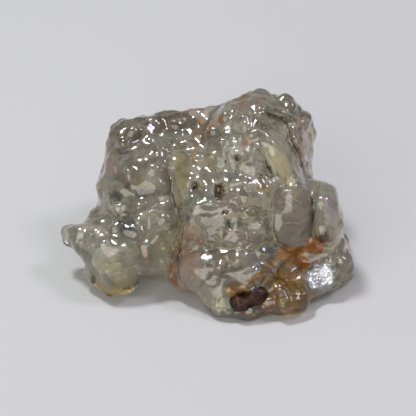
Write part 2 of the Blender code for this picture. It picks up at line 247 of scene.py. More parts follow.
def seen_surface(mesh: bpy.types.Mesh) -> tuple[np.ndarray, np.ndarray, np.ndarray, np.ndarray]:
    """Where the mesh's vertices are and how they show.

    Args:
        mesh: the mesh.

    Returns:
        Their points, normals, places on the show face and how far they face the eye.
    """
    points, normals = vertex_array(mesh), gathered(mesh.vertex_normals, "vector", 3)
    return points, normals, SHOW_FACE.places(points), SHOW_FACE.facing(normals)


def set_vertices(mesh: bpy.types.Mesh, points: np.ndarray) -> None:
    """Writes points in millimetres back to the mesh."""
    mesh.vertices.foreach_set("co", (points * MM).astype(np.float32).ravel())
    mesh.update()


def write_layer(mesh: bpy.types.Mesh, name: str, values: np.ndarray) -> None:
    """Adds a mesh attribute with a value for each vertex."""
    mesh.attributes.new(name, "FLOAT", "POINT").data.foreach_set("value", values.astype(np.float32))


def evened(points: np.ndarray, pairs: np.ndarray, share: float) -> np.ndarray:
    """Evens out a surface.

    Args:
        points: N by 3 points.
        pairs: the two point numbers of each edge.
        share: how far each point moves towards the average of its neighbours.

    Returns:
        The moved points.
    """
    total = np.zeros_like(points)
    count = np.zeros(len(points))
    for one, other in ((0, 1), (1, 0)):
        np.add.at(total, pairs[:, one], points[pairs[:, other]])
        np.add.at(count, pairs[:, one], 1.0)
    return points + share * (total / count[:, None] - points)


def apply_modifiers(obj: bpy.types.Object) -> None:
    """Replaces the object's mesh by what its modifiers make of it.

    Args:
        obj: the object.
    """
    bpy.context.view_layer.update()
    graph = bpy.context.evaluated_depsgraph_get()
    mesh = bpy.data.meshes.new_from_object(obj.evaluated_get(graph))
    obj.modifiers.clear()
    old = obj.data
    obj.data = mesh
    bpy.data.meshes.remove(old)


def welded(mesh: bpy.types.Mesh) -> bpy.types.Mesh:
    """A copy of the mesh whose triangles share their corners.

    Args:
        mesh: the mesh.

    Returns:
        The copy.
    """
    form = bmesh.new()
    form.from_mesh(mesh)
    bmesh.ops.remove_doubles(form, verts=form.verts, dist=WELD)
    copy = bpy.data.meshes.new(mesh.name)
    form.to_mesh(copy)
    form.free()
    return copy


def refined_copy(node: str, name: str, voxel: float, evening: int) -> bpy.types.Object:
    """A finer, smoother copy of a solid.

    Args:
        node: the solid's name.
        name: the copy's name.
        voxel: how fine the copy's mesh is, in millimetres.
        evening: how many times its vertices are evened out.

    Returns:
        The copy.
    """
    copy = bpy.data.objects.new(name, welded(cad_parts[node].data))
    bpy.context.scene.collection.objects.link(copy)
    rounder = copy.modifiers.new("rounder", "SUBSURF")
    rounder.levels = rounder.render_levels = 1
    finer = copy.modifiers.new("finer", "REMESH")
    finer.mode = "VOXEL"
    finer.voxel_size = voxel * MM
    apply_modifiers(copy)
    points = vertex_array(copy.data)
    pairs = edge_pairs(copy.data)
    for _ in range(evening):
        points = evened(points, pairs, EVENING_SHARE)
    set_vertices(copy.data, points)
    copy.data.materials.clear()
    return copy


def sampled(points: np.ndarray, often: float, octaves: int, offset: float = 0.0) -> np.ndarray:
    """Fractal noise, about -1 to 1, at each point.

    Args:
        points: N by 3 points in millimetres.
        often: how many swings it makes in a millimetre.
        octaves: how many finer layers it has.
        offset: moves it, so that two noises differ.

    Returns:
        N values.
    """
    moved = points * often + offset
    return np.array([noise.fractal(Vector(point), FRACTAL_FADE, FRACTAL_STEP, octaves) for point in moved])


def flaked(points: np.ndarray, often: float, tilt: float, step: float) -> np.ndarray:
    """Heights of flat flakes packed side by side, each with its own tilt and level.

    Args:
        points: N by 3 points in millimetres.
        often: how many flakes there are to a millimetre.
        tilt: how steep they are at most, as a slope.
        step: how far their levels differ at most, in millimetres.

    Returns:
        N heights in millimetres.
    """
    heights = np.empty(len(points))
    for index, point in enumerate(points * often):
        centre = noise.voronoi(Vector(point))[1][0]
        lean = noise.noise_vector(centre * FLAKE_LEAN_SEED)
        level = noise.noise(centre * FLAKE_LEVEL_SEED) * step
        heights[index] = lean.dot(Vector(point) - centre) * tilt / often + level
    return heights


def vertex_tree(points: np.ndarray) -> kdtree.KDTree:
    """A search tree over points.

    Args:
        points: N by 3 points.

    Returns:
        The tree.
    """
    tree = kdtree.KDTree(len(points))
    for index, point in enumerate(points):
        tree.insert(point, index)
    tree.balance()
    return tree


def surface_tree(obj: bpy.types.Object) -> BVHTree:
    """A search tree over the object's faces, in millimetres."""
    corners = [vertex.co / MM for vertex in obj.data.vertices]
    return BVHTree.FromPolygons(corners, [polygon.vertices for polygon in obj.data.polygons])


@dataclass(frozen=True)
class Dome:
    """A round growth on the surface: its centre, its radius and how far it stands out, in millimetres."""

    centre: Point
    radius: float
    rise: float


def scattered_domes(
    points: np.ndarray, tree: kdtree.KDTree, radius: Span, spacing: float, steep: float, seed: int
) -> list[Dome]:
    """Growths all over the surface, kept apart from one another.

    Args:
        points: N by 3 points on the surface.
        tree: the search tree over them.
        radius: the smallest and the largest radius.
        spacing: how far apart they are, in radii.
        steep: how far each stands out, as a share of its radius.
        seed: what the draws start from.

    Returns:
        The growths.
    """
    rng = random.Random(seed)
    order = list(range(len(points)))
    rng.shuffle(order)
    free = np.ones(len(points), bool)
    domes = []
    for index in order:
        if free[index]:
            size = rng.uniform(*radius)
            domes.append(Dome(tuple(points[index]), size, steep * size * rng.uniform(*DOME_VARIETY)))
            for _, near, _ in tree.find_range(points[index], spacing * size):
                free[near] = False
    return domes


def dome_rise(count: int, tree: kdtree.KDTree, domes: list[Dome]) -> np.ndarray:
    """How far growths lift each point: the highest of those that cover it.

    Args:
        count: how many points there are.
        tree: the search tree over them.
        domes: the growths.

    Returns:
        The heights in millimetres.
    """
    rise = np.zeros(count)
    for dome in domes:
        for _, index, gap in tree.find_range(dome.centre, dome.radius):
            rise[index] = max(rise[index], dome.rise * (1.0 - (gap / dome.radius) ** 2))
    return rise


def kept_in_box(points: np.ndarray, box: Box) -> np.ndarray:
    """The points, with those outside the box moved onto it."""
    low, high = (np.array(corner) / MM for corner in box)
    return np.clip(points, low, high)


# Paths that creases, seams, ribs and stains share: the long crease down the middle, the arc below the
# summit, the crack beside the rib, the gap between the clear domes and the fold on the upper left body
LONG_CREASE: Path = (
    (-4.01, 9.24), (-3.59, 8.22), (-3.49, 6.26), (-3.08, 5.55), (-2.67, 4.11),
    (-2.57, 2.88), (-2.67, 1.75), (-2.88, 0.21), (-3.65, -1.54),
)
SUMMIT_ARC: Path = (
    (6.45, 15.13), (7.68, 14.66), (8.54, 13.61), (8.63, 12.56), (9.11, 11.61), (9.58, 10.86), (9.96, 9.72)
)
RIB_CRACK: Path = ((6.16, 10.19), (6.83, 8.67))
DOME_GAP: Path = ((10.95, 6.47), (10.94, 4.72), (10.78, 2.57))
BODY_FOLD: Path = ((-8.0, 9.3), (-7.9, 8.4), (-7.6, 7.4))


class Pigment(Enum):
    """What colours the stone, with the colour of each."""

    TAUPE = (0.19, 0.155, 0.115)
    OLIVE = (0.46, 0.40, 0.19)
    MAUVE = (0.70, 0.50, 0.44)
    # Painted shade: a dark grey
    SMOKE = (0.14, 0.128, 0.115)
    MILK = (0.94, 0.94, 0.90)
    STRAW = (0.95, 0.88, 0.60)
    # Lilac: a violet tint, also a painted highlight tint on the second clear dome
    LILAC = (0.62, 0.55, 0.80)
    AMBER = (0.62, 0.26, 0.008)
    GOLD = (0.86, 0.58, 0.10)
    BLUSH = (0.85, 0.36, 0.22)
    # Rust, also a painted shadow in one stroke under the silvery corner
    RUST = (0.80, 0.33, 0.03)
    UMBER = (0.060, 0.022, 0.006)
    # Silver: a painted reflection over the silvery film
    SILVER = (0.97, 0.97, 1.0)

    @property
    def layer(self) -> str:
        """The name of the mesh attribute that says how much of it there is."""
        return "pigment_" + self.name.lower()


# Where each pigment colours the stone: stains, and also painted shade, a painted shadow, a painted highlight
# tint and a painted reflection
PIGMENT_MARKS: dict[Pigment, tuple[Mark, ...]] = {
    Pigment.TAUPE: (
        Patch((8.85, 4.7), (2.2, 3.5), 0.25),
        Patch((-1.0, -1.0), (1.4, 1.6), 0.40),
        Patch((-7.9, 3.6), (1.1, 1.2), 0.50),
        Patch((10.2, 12.4), (1.6, 4.2), 0.80),
        Patch((-3.2, 14.5), (3.6, 1.4), 0.80),
        Patch((-8.0, 12.9), (2.6, 1.4), 0.55),
        Patch((-8.4, 9.6), (2.4, 2.4), 0.40),
        Patch((-5.9, 10.6), (1.6, 2.0), 0.35),
        Patch((0.6, 12.6), (1.8, 1.6), 0.50),
        Patch((6.4, 14.6), (1.8, 1.6), 0.45),
    ),
    Pigment.OLIVE: (
        Patch((-2.46, 9.14), (0.92, 2.88), 0.7),
        Patch((-4.52, 1.64), (1.44, 2.67), 0.5),
        Patch((-6.78, 8.32), (0.62, 0.92), 0.5),
        Patch((-9.86, -0.10), (2.05, 2.26), 0.3),
        Patch((-6.8, 7.5), (1.7, 0.7), 0.7),
        Patch((-8.8, -2.2), (2.1, 1.2), 0.5),
        Patch((0.4, 9.6), (1.2, 2.2), 0.40),
        Patch((0.2, 3.6), (2.2, 2.4), 0.35),
        Patch((4.6, 4.6), (1.6, 2.2), 0.30),
        Patch((1.44, -4.62), (1.95, 0.9), 0.45),
    ),
    Pigment.MAUVE: (
        Stroke(
            ((-10.48, 13.66), (-10.68, 11.40), (-11.09, 8.83), (-11.61, 6.26), (-12.73, 4.01)), 0.72, 0.6
        ),
        Patch((-9.65, 9.86), (0.72, 1.23), 0.5),
        Patch((10.17, 12.43), (1.44, 4.11), 0.4),
        Patch((12.73, 5.75), (1.23, 2.05), 0.35),
        Patch((14.28, -0.10), (0.82, 2.57), 0.4),
        Patch((8.83, 4.72), (1.85, 3.08), 0.3),
        Patch((-1.85, -0.10), (1.64, 2.88), 0.5),
        Patch((-1.13, 15.30), (2.26, 1.03), 0.4),
        Patch((4.6, 16.2), (1.9, 0.8), 0.5),
        Patch((2.6, -0.5), (2.3, 1.2), 0.40),
        Patch((3.6, 2.3), (2.2, 1.3), 0.30),
        Patch((2.2, 5.6), (2.4, 1.8), 0.30),
        Stroke(BODY_FOLD, 0.22, 0.7),
    ),
    # Painted shade: dark spots among the highlights on the upper left body, and the dark zone under the
    # shelf
    Pigment.SMOKE: (
        Patch((-9.24, 6.57), (0.62, 0.62), 1.0),
        Patch((-8.22, 3.59), (1.05, 1.05), 0.9),
        Patch((-8.01, 7.60), (0.40, 0.45), 0.8),
        Patch((-6.2, 6.9), (1.4, 0.5), 0.7),
        Patch((-8.6, 11.1), (0.9, 0.5), 0.6),
    ),
    Pigment.MILK: (
        Patch((-5.75, 8.52), (0.92, 1.23), 0.2),
        Patch((-9.6, 0.9), (2.3, 1.9), 0.3),
        Patch((1.64, 4.72), (1.44, 1.03), 0.2),
        Patch((-1.03, 4.72), (0.82, 0.92), 0.3),
        Patch((3.08, 11.50), (1.75, 1.13), 0.25),
    ),
    Pigment.STRAW: (
        Patch((7.85, 9.6), (0.85, 2.7), 0.95, 31.0),
        Patch((-9.04, -0.87), (1.75, 1.44), 0.35),
        Patch((2.6, -0.6), (2.0, 1.1), 0.30),
        Patch((1.44, -4.62), (1.95, 0.9), 0.5),
    ),
    # A violet patch in the middle, and a painted highlight tint along the highlight streak on the second
    # clear dome
    Pigment.LILAC: (Patch((5.22, 9.71), (0.82, 0.72), 0.45), Patch((12.7, 5.4), (0.6, 1.5), 0.45, 20.0)),
    Pigment.AMBER: (
        Patch((8.11, -2.16), (2.26, 1.64), 0.9),
        Patch((9.24, -4.01), (1.75, 1.44), 0.9),
        Patch((3.08, -2.98), (1.44, 0.82), 0.9),
        Patch((6.37, -4.31), (2.05, 1.03), 0.8),
        Patch((12.02, 2.15), (0.92, 0.92), 0.6),
        Stroke(((-11.40, -2.8), (-10.89, -3.4), (-9.86, -3.8)), 0.35, 0.6),
        Stroke(((-2.67, 4.01), (-2.52, 2.88), (-2.67, 1.54), (-2.88, 0.31)), 0.13, 0.8),
        Stroke(((-0.62, 14.28), (-0.92, 12.43), (-1.23, 10.37)), 0.51, 0.45),
        Stroke(((3.59, 16.23), (4.31, 17.05)), 0.31, 0.6),
        Stroke(((5.34, 16.43), (6.37, 16.84)), 0.26, 0.6),
        Patch((5.75, 7.50), (1.23, 0.62), 0.3),
    ),
    Pigment.GOLD: (
        Stroke(
            ((-11.40, -2.57), (-10.89, -3.18), (-9.86, -3.49), (-8.63, -3.59), (-7.60, -3.39)), 0.80, 0.8
        ),
        Patch((9.2, -2.6), (1.5, 1.1), 0.35),
        Patch((7.4, -2.3), (1.2, 0.9), 0.30),
        Patch((3.2, -2.9), (1.0, 0.5), 0.35),
    ),
    Pigment.BLUSH: (
        Patch((-0.62, 1.95), (0.62, 0.51), 0.8),
        Patch((-4.31, 13.76), (0.82, 0.62), 0.25),
        Stroke(((-6.68, 1.75), (-5.96, -0.10)), 0.18, 0.9),
        Stroke(((-3.43, -0.51), (-3.60, -1.64), (-3.0, -2.5), (-2.0, -3.1)), 0.34, 0.9),
        Patch((-1.9, 0.3), (0.9, 1.6), 0.25),
        Patch((4.08, 12.00), (0.31, 0.36), 0.8),
        Patch((4.62, 12.53), (0.31, 0.26), 0.5),
        Patch((9.68, 14.18), (0.31, 0.31), 0.7),
        Patch((-1.44, 2.67), (1.03, 1.23), 0.4),
        Stroke(((4.52, -2.36), (5.75, -1.44), (7.09, -0.72)), 0.21, 0.6),
    ),
    Pigment.RUST: (
        Patch((11.09, 1.44), (1.03, 0.92), 1.0),
        Patch((8.93, 0.62), (1.64, 0.82), 1.0, 10.0),
        Patch((9.96, -0.10), (1.44, 0.82), 0.8),
        Patch((12.12, 2.05), (0.51, 0.41), 0.7),
        Stroke(((4.11, -2.46), (5.34, -1.64), (6.37, -0.51), (7.60, 0.41)), 0.26, 0.7),
        Stroke(((0.31, 13.66), (0.92, 14.17), (1.64, 14.58)), 0.23, 1.0),
        Stroke(((3.49, -5.44), (5.75, -5.65), (8.63, -5.55), (10.17, -5.24)), 0.26, 0.6),
        # Partly rust and partly painted shadow: the darker orange where the shadow under the silvery corner
        # falls
        Stroke(((10.48, -3.70), (11.30, -4.01)), 0.51, 0.8),
    ),
    Pigment.UMBER: (
        Patch((-1.15, 7.72), (0.29, 0.38), 1.0),
        Patch((1.27, 7.24), (0.38, 0.67), 1.0),
        Patch((1.95, 4.93), (0.36, 0.23), 0.8),
        Stroke(((2.26, 4.11), (2.52, 3.29)), 0.14, 0.9),
        Patch((3.22, 10.53), (0.25, 0.27), 1.0),
        Patch((2.00, 10.17), (0.15, 0.15), 0.6),
        Stroke(DOME_GAP, 0.15, 0.8),
        Patch((12.02, 2.36), (0.82, 0.62), 0.6),
        Stroke(SUMMIT_ARC[:6], 0.12, 0.6),
        Stroke(RIB_CRACK, 0.13, 0.7),
        Stroke(LONG_CREASE[:4], 0.12, 0.6),
        Patch((-11.60, -2.05), (0.31, 0.51), 0.7),
    ),
    # Painted reflection: the stone painted silver-white where the silvery film's mirror-like shine shows
    Pigment.SILVER: (Patch((11.81, -1.64), (1.54, 1.44), 1.0),),
}

# Creases cut sharp, with their depths: the long one, the arc, the crack beside the rib, the edge of the
# clear dome, the gap between the two domes and the lip over the pink lobe
CREASES: tuple[Stroke, ...] = (
    Stroke(LONG_CREASE, 0.16, 0.45),
    Stroke(SUMMIT_ARC, 0.17, 0.50),
    Stroke(RIB_CRACK, 0.14, 0.35),
    Stroke(((8.2, 8.3), (7.0, 7.2), (6.75, 5.6), (6.75, 3.2), (7.2, 1.8), (8.4, 1.2)), 0.14, 0.22),
    Stroke(DOME_GAP, 0.15, 0.35),
    Stroke(((-2.6, 0.6), (-1.2, 1.1), (0.6, 1.1)), 0.13, 0.12),
)

# Swells and hollows, with their heights in millimetres: the flank of the upper left body, the hollow
# over the shelf and the shelf, the two clear domes, the pink lobe, a swell over the small domes and the
# left lobe
SWELLS: tuple[Patch, ...] = (
    Patch((-7.0, 9.7), (2.6, 1.6), 0.35),
    Patch((-6.9, 6.5), (2.9, 0.9), -0.45),
    Patch((-6.6, 4.7), (2.9, 0.8), 0.25),
    Patch((8.8, 4.9), (1.9, 3.3), 0.45),
    Patch((12.5, 4.6), (1.5, 3.0), 0.40),
    Patch((-1.0, -0.9), (1.4, 1.7), 0.35),
    Patch((4.1, 0.6), (2.3, 0.75), 0.45),
    Patch((-9.0, -0.6), (2.0, 1.6), 0.15),
)

# Raised ribs, with their heights: the pale rib, the folds beside the arc and those on the left body
RIBS: tuple[Stroke, ...] = (
    Stroke(((6.5, 12.0), (7.7, 10.2), (9.1, 7.9)), 0.80, 0.60),
    Stroke(((6.9, 15.5), (8.2, 14.9), (9.05, 13.75), (9.15, 12.6), (9.6, 11.7), (10.1, 10.9)), 0.22, 0.22),
    Stroke(((7.6, 15.5), (8.8, 14.8), (9.6, 13.7), (9.75, 12.6), (10.1, 11.6)), 0.20, 0.18),
    Stroke(BODY_FOLD, 0.20, 0.25),
    Stroke(((-7.4, 9.0), (-7.3, 8.0), (-7.1, 7.2)), 0.18, 0.20),
)

# Pits with their depths: two large ones, a small one with the crack below it and one in the rough patch
# under the summit
PITS: tuple[Mark, ...] = (
    Patch((-1.15, 7.72), (0.27, 0.36), 0.6),
    Patch((1.27, 7.24), (0.34, 0.62), 0.7),
    Patch((1.95, 4.93), (0.30, 0.20), 0.35),
    Stroke(((2.26, 4.11), (2.52, 3.29)), 0.14, 0.35),
    Patch((3.22, 10.53), (0.24, 0.26), 0.55),
)

# Where the surface is smooth and glassy: the two clear domes, the rib, the olive window, the upper left
# body, the scar on the left lobe, the small domes, the pink lobe and its side, and the silvery corner
SMOOTH: tuple[Mark, ...] = (
    Patch((8.8, 4.9), (2.2, 3.8)),
    Patch((12.5, 5.2), (2.0, 2.9), 0.9),
    Patch((7.8, 9.5), (1.2, 2.0), 1.0, 56.0),
    Patch((-2.6, 9.2), (1.2, 2.6), 0.9),
    Patch((-6.6, 8.6), (3.0, 2.6), 0.3),
    Patch((-9.0, -0.6), (2.4, 1.8), 0.5),
    Patch((2.6, -0.4), (2.3, 1.2), 0.7),
    Patch((-1.0, -0.9), (1.6, 1.8), 0.9),
    Patch((-2.2, 0.6), (0.9, 2.6), 0.7),
    Patch((11.8, -1.65), (1.5, 1.4), 0.9),
)

# Where the growths give way to ripples, shelly flakes and cracks: the middle and the left lobe
RIPPLED: tuple[Mark, ...] = (
    Patch((3.0, 6.0), (4.2, 4.6)),
    Patch((1.4, 2.6), (4.6, 2.2)),
    Patch((-9.2, -0.3), (2.4, 2.0), 0.9),
)

# Rough, chipped stretches: the sparkling patch under the summit, the foot and the stained hollow
CHIPPED: tuple[Mark, ...] = (
    Patch((3.08, 11.50), (1.95, 1.34)),
    Patch((1.44, -4.62), (1.95, 0.92)),
    Patch((9.6, 0.6), (2.2, 1.3), 0.8),
    Patch((8.6, -3.2), (1.8, 1.8), 0.7),
)

# Round growths that catch the light, with place, radius and rise: on the upper left body, on the shelf
# below it, around the summit, on the flank left of it, on the small domes, at the lower right, on the
# clear domes and down the right edge
BEADS: tuple[tuple[Place, float, float], ...] = (
    ((-8.63, 12.25), 0.75, 0.28),
    ((-8.00, 11.80), 0.70, 0.25),
    ((-7.10, 13.15), 0.85, 0.28),
    ((-5.40, 12.60), 0.70, 0.26),
    ((-5.10, 11.40), 0.80, 0.30),
    ((-4.30, 11.80), 0.60, 0.24),
    ((-5.10, 9.70), 0.90, 0.28),
    ((-6.98, 5.35), 0.80, 0.32),
    ((-7.75, 4.95), 0.65, 0.26),
    ((-9.49, 5.05), 0.80, 0.30),
    ((-8.98, 4.20), 0.70, 0.28),
    ((-9.75, 3.60), 0.65, 0.26),
    ((-4.52, 4.25), 1.10, 0.42),
    ((-7.35, 3.25), 0.70, 0.28),
    ((-6.55, 3.20), 0.65, 0.26),
    ((-10.78, 2.15), 0.75, 0.28),
    ((1.51, 14.85), 0.85, 0.26),
    ((3.55, 15.00), 0.60, 0.24),
    ((4.15, 14.95), 0.50, 0.20),
    ((5.96, 15.65), 0.75, 0.26),
    ((5.93, 14.20), 0.85, 0.32),
    ((4.01, 14.10), 0.75, 0.26),
    ((5.31, 13.70), 0.60, 0.24),
    ((4.31, 13.15), 0.75, 0.30),
    ((0.18, 13.30), 0.65, 0.24),
    ((1.08, 12.30), 0.55, 0.22),
    ((2.26, 12.30), 0.50, 0.20),
    ((2.36, 11.15), 0.55, 0.22),
    ((3.18, 11.20), 0.50, 0.20),
    ((5.22, 11.45), 0.60, 0.24),
    ((-1.03, 11.00), 0.65, 0.26),
    ((0.04, 10.70), 0.60, 0.24),
    ((-1.29, 9.95), 0.70, 0.24),
    ((1.34, -0.70), 0.85, 0.34),
    ((3.08, -0.45), 0.80, 0.30),
    ((12.02, 2.70), 0.95, 0.34),
    ((9.75, -4.10), 0.80, 0.28),
    ((7.60, -4.40), 0.90, 0.30),
    ((8.40, 7.00), 1.20, 0.35),
    ((12.20, 6.20), 1.10, 0.25),
    ((12.85, 4.60), 1.20, 0.25),
    ((13.30, 5.60), 0.75, 0.35),
    ((13.90, 3.70), 0.80, 0.40),
    ((14.25, 1.70), 0.80, 0.40),
    ((14.50, -0.10), 0.80, 0.40),
)

# Hair-thin cracks that shine: in the clear dome, below it, in the scar on the left lobe, on the shelf and
# in the middle; the last three are painted highlights, pale threads on the rib and on both clear domes
CRACKS_AND_PAINTED_HIGHLIGHTS: tuple[Stroke, ...] = (
    Stroke(((7.81, 3.80), (8.90, 3.86), (9.96, 3.80)), 0.07),
    Stroke(((7.90, 6.75), (8.60, 6.65), (9.30, 6.30), (9.75, 5.75)), 0.06),
    Stroke(((6.88, 2.57), (7.25, 1.90), (7.60, 1.33)), 0.08),
    Stroke(((7.60, 0.95), (8.30, 0.60), (8.80, 0.10)), 0.08),
    Stroke(((-10.4, 0.3), (-9.3, 0.7), (-8.0, 0.3)), 0.06),
    Stroke(((-10.1, -0.6), (-9.1, -0.2), (-8.0, -0.6)), 0.06),
    Stroke(((-9.9, -1.7), (-9.0, -1.2), (-7.7, -1.6)), 0.06),
    Stroke(((-6.9, 4.3), (-7.6, 4.0), (-8.2, 3.3)), 0.07),
    Stroke(((3.4, 5.6), (4.6, 5.5), (5.6, 5.2)), 0.05),
    Stroke(((1.0, 3.4), (2.2, 3.1), (3.2, 3.2)), 0.05),
    Stroke(((4.0, 3.6), (4.2, 2.6), (4.1, 1.7)), 0.05),
    # Painted highlights: pale threads on the rib and on the two clear domes
    Stroke(((7.85, 10.3), (8.4, 9.4), (8.95, 8.5)), 0.11),
    Stroke(((12.0, 6.5), (12.7, 5.4), (13.0, 3.7)), 0.11),
    Stroke(((7.7, 6.9), (8.2, 7.25), (8.8, 7.3)), 0.17),
)

# Dark seams along the creases: the long one, the arc, the crack beside the rib, the gap between the
# clear domes, the two cracks in the middle and the edge of the pink lobe
SEAMS: tuple[Stroke, ...] = (
    Stroke(LONG_CREASE[:6], 0.09),
    Stroke(((-2.67, 2.6), (-2.57, 1.75), (-2.88, 0.21), (-3.65, -1.54)), 0.08),
    Stroke(SUMMIT_ARC[:6], 0.09),
    Stroke(((9.58, 10.86), (9.85, 10.0), (9.96, 9.2)), 0.07),
    Stroke(((6.16, 10.19), (6.50, 9.4), (6.83, 8.67)), 0.09),
    Stroke(DOME_GAP, 0.09),
    Stroke(((2.26, 4.11), (2.35, 3.7), (2.52, 3.29)), 0.08),
    Stroke(((0.6, 9.7), (1.1, 9.0), (1.3, 8.1)), 0.06),
    Stroke(((-2.9, -0.9), (-2.7, -1.9), (-2.0, -2.6)), 0.05),
)

# Cloudy veils inside the stone. The strength of each is how far behind the surface it lies, in
# millimetres. The haze darkens the small domes, the upper left body and the part behind it.
HAZE: tuple[Patch, ...] = (
    Patch((2.6, -0.6), (2.9, 1.6), 1.4),
    Patch((-7.2, 9.4), (3.7, 4.3), 1.8),
    Patch((-2.9, 13.4), (2.8, 1.4), 1.6),
)

# The milky veils: in the foot, under the rib, on the shelf and three that overlap in the left lobe
MILKY_VEILS: tuple[Patch, ...] = (
    Patch((1.2, -3.6), (1.6, 1.1), 0.7),
    Patch((7.9, 9.7), (0.80, 2.6), 0.6, 31.0),
    Patch((-6.9, 4.2), (2.2, 0.9), 1.0),
    Patch((-10.0, 0.2), (1.7, 1.3), 0.9, 25.0),
    Patch((-8.6, -1.3), (1.9, 1.2), 1.2, -20.0),
    Patch((-8.1, 0.6), (1.4, 1.0), 1.0, 40.0),
)

# The taupe veils: in the first clear dome and the pink lobe
TAUPE_VEILS: tuple[Patch, ...] = (
    Patch((8.95, 4.7), (2.2, 3.6), 1.1),
    Patch((-1.2, -1.0), (1.5, 1.7), 1.1),
)

# Painted glints: small green and pink chips on the left lobe and the upper left body, standing for the
# iridescent flashes of fractures. Their strength is how deep they lie.
SPARKS: tuple[Patch, ...] = (
    Patch((-11.65, 1.54), (0.30, 0.18), 0.05, 40.0),
    Patch((-11.81, 2.67), (0.22, 0.16), 0.05, 10.0),
    Patch((-9.35, 9.24), (0.18, 0.40), 0.06, 20.0),
    Patch((-9.55, 8.42), (0.16, 0.18), 0.05),
    Patch((-11.1, 0.9), (0.34, 0.12), 0.06, 60.0),
)

# Fine brown specks: above the cracked middle and in it, beside the rib and in the stained hollow
SPECKLED: tuple[Patch, ...] = (
    Patch((1.9, 9.0), (1.6, 2.4)),
    Patch((3.0, 5.0), (3.6, 4.2)),
    Patch((1.4, 2.4), (4.0, 1.8)),
    Patch((5.6, 8.6), (1.2, 2.0)),
    Patch((6.6, -3.6), (3.2, 1.8)),
)

# Chips of parted layers, painted pale white as glints for their silvery sparkle: in the foot, the rough
# patch under the summit and the corner lobe
SPARKLING: tuple[Patch, ...] = (
    Patch((1.44, -4.62), (1.75, 0.85)),
    Patch((3.08, 11.50), (1.80, 1.20)),
    Patch((12.9, -0.6), (1.2, 1.0), 0.7),
)

# The silvery film under the corner of the stone. Its strength is how deep its middle lies.
SILVERY: tuple[Patch, ...] = (Patch((11.81, -1.64), (1.50, 1.40), 0.10 + FILM_WRINKLE / 2.0),)


def placed_beads(points: np.ndarray, places: np.ndarray) -> list[Dome]:
    """The beads, each set on the part of the surface that shows at its place.

    Args:
        points: N by 3 points on the surface, in millimetres.
        places: where they lie on the show face.

    Returns:
        The beads as growths.
    """
    nearness = points @ SHOW_FACE.towards_eye()
    domes = []
    for place, radius, rise in BEADS:
        here = np.linalg.norm(places - np.array(place), axis=1) < BEAD_SEARCH
        front = np.argmax(np.where(here, nearness, -np.inf))
        domes.append(Dome(tuple(points[front]), radius, rise))
    return domes


class Bench:
    """A node tree with short ways to add and join its nodes."""

    def __init__(self, tree: bpy.types.NodeTree) -> None:
        """Starts on an empty tree."""
        self.tree = tree
        tree.nodes.clear()

    def add(self, kind: str, settings: dict[str, object] | None = None, **inputs: object) -> bpy.types.Node:
        """Adds a node.

        Args:
            kind: the node's type name.
            settings: its properties.
            inputs: its sockets, with _ for each space: a value, or an output socket to link.

        Returns:
            The node.
        """
        node = self.tree.nodes.new(kind)
        for name, value in (settings or {}).items():
            setattr(node, name, value)
        for name, value in inputs.items():
            self.feed(node.inputs[name.replace("_", " ")], value)
        return node

    def feed(self, socket: Socket, value: object) -> None:
        """Links an output to a socket, or sets the socket's value.

        Args:
            socket: the socket.
            value: the output or the value.
        """
        if isinstance(value, Socket):
            self.tree.links.new(value, socket)
        else:
            socket.default_value = value

    def attribute(self, name: str) -> Socket:
        """The value of a mesh attribute."""
        return self.add("ShaderNodeAttribute", {"attribute_name": name}).outputs["Fac"]

    def maths(self, operation: str, *values: object, clamp: bool = False) -> Socket:
        """Adds a Math node.

        Args:
            operation: what it does.
            values: what it does it to.
            clamp: whether the outcome stays between 0 and 1.

        Returns:
            The outcome.
        """
        node = self.add("ShaderNodeMath", {"operation": operation, "use_clamp": clamp})
        for socket, value in zip(node.inputs, values):
            self.feed(socket, value)
        return node.outputs[0]

    def blend(self, share: object, below: object, above: object) -> Socket:
        """Mixes two colours.

        Args:
            share: how much of the second there is.
            below: the first colour.
            above: the second colour.

        Returns:
            The mixed colour.
        """
        node = self.add("ShaderNodeMix", {"data_type": "RGBA", "clamp_factor": True})
        for socket, value in ((node.inputs[0], share), (node.inputs[6], below), (node.inputs[7], above)):
            self.feed(socket, (*value, 1.0) if isinstance(value, tuple) and len(value) == 3 else value)
        return node.outputs[2]

    def relief(self, height: Socket, distance: float) -> Socket:
        """The normal of a surface with fine relief."""
        return self.add("ShaderNodeBump", Strength=1.0, Distance=distance, Height=height).outputs["Normal"]


def new_material(name: str) -> tuple[bpy.types.Material, Bench]:
    """Starts a material.

    Args:
        name: its name.

    Returns:
        The material and a bench on its node tree.
    """
    material = bpy.data.materials.new(name)
    material.use_nodes = True
    return material, Bench(material.node_tree)


def node_group(
    name: str, inputs: tuple[str, ...], outputs: tuple[str, ...]
) -> tuple[Bench, bpy.types.Node, bpy.types.Node]:
    """Starts a shader node group whose inputs and outputs are numbers.

    Args:
        name: the group's name.
        inputs: its inputs.
        outputs: its outputs.

    Returns:
        A bench on its tree, and its input and output nodes.
    """
    tree = bpy.data.node_groups.new(name, "ShaderNodeTree")
    for way, labels in (("INPUT", inputs), ("OUTPUT", outputs)):
        for label in labels:
            tree.interface.new_socket(label, in_out=way, socket_type="NodeSocketFloat")
    bench = Bench(tree)
    return bench, bench.add("NodeGroupInput"), bench.add("NodeGroupOutput")


@dataclass(frozen=True)
class Cloud:
    """A soft uneven cloud: its swings in a metre, the levels where it starts and fills, and its twist."""

    often: float
    low: float
    high: float
    twist: float


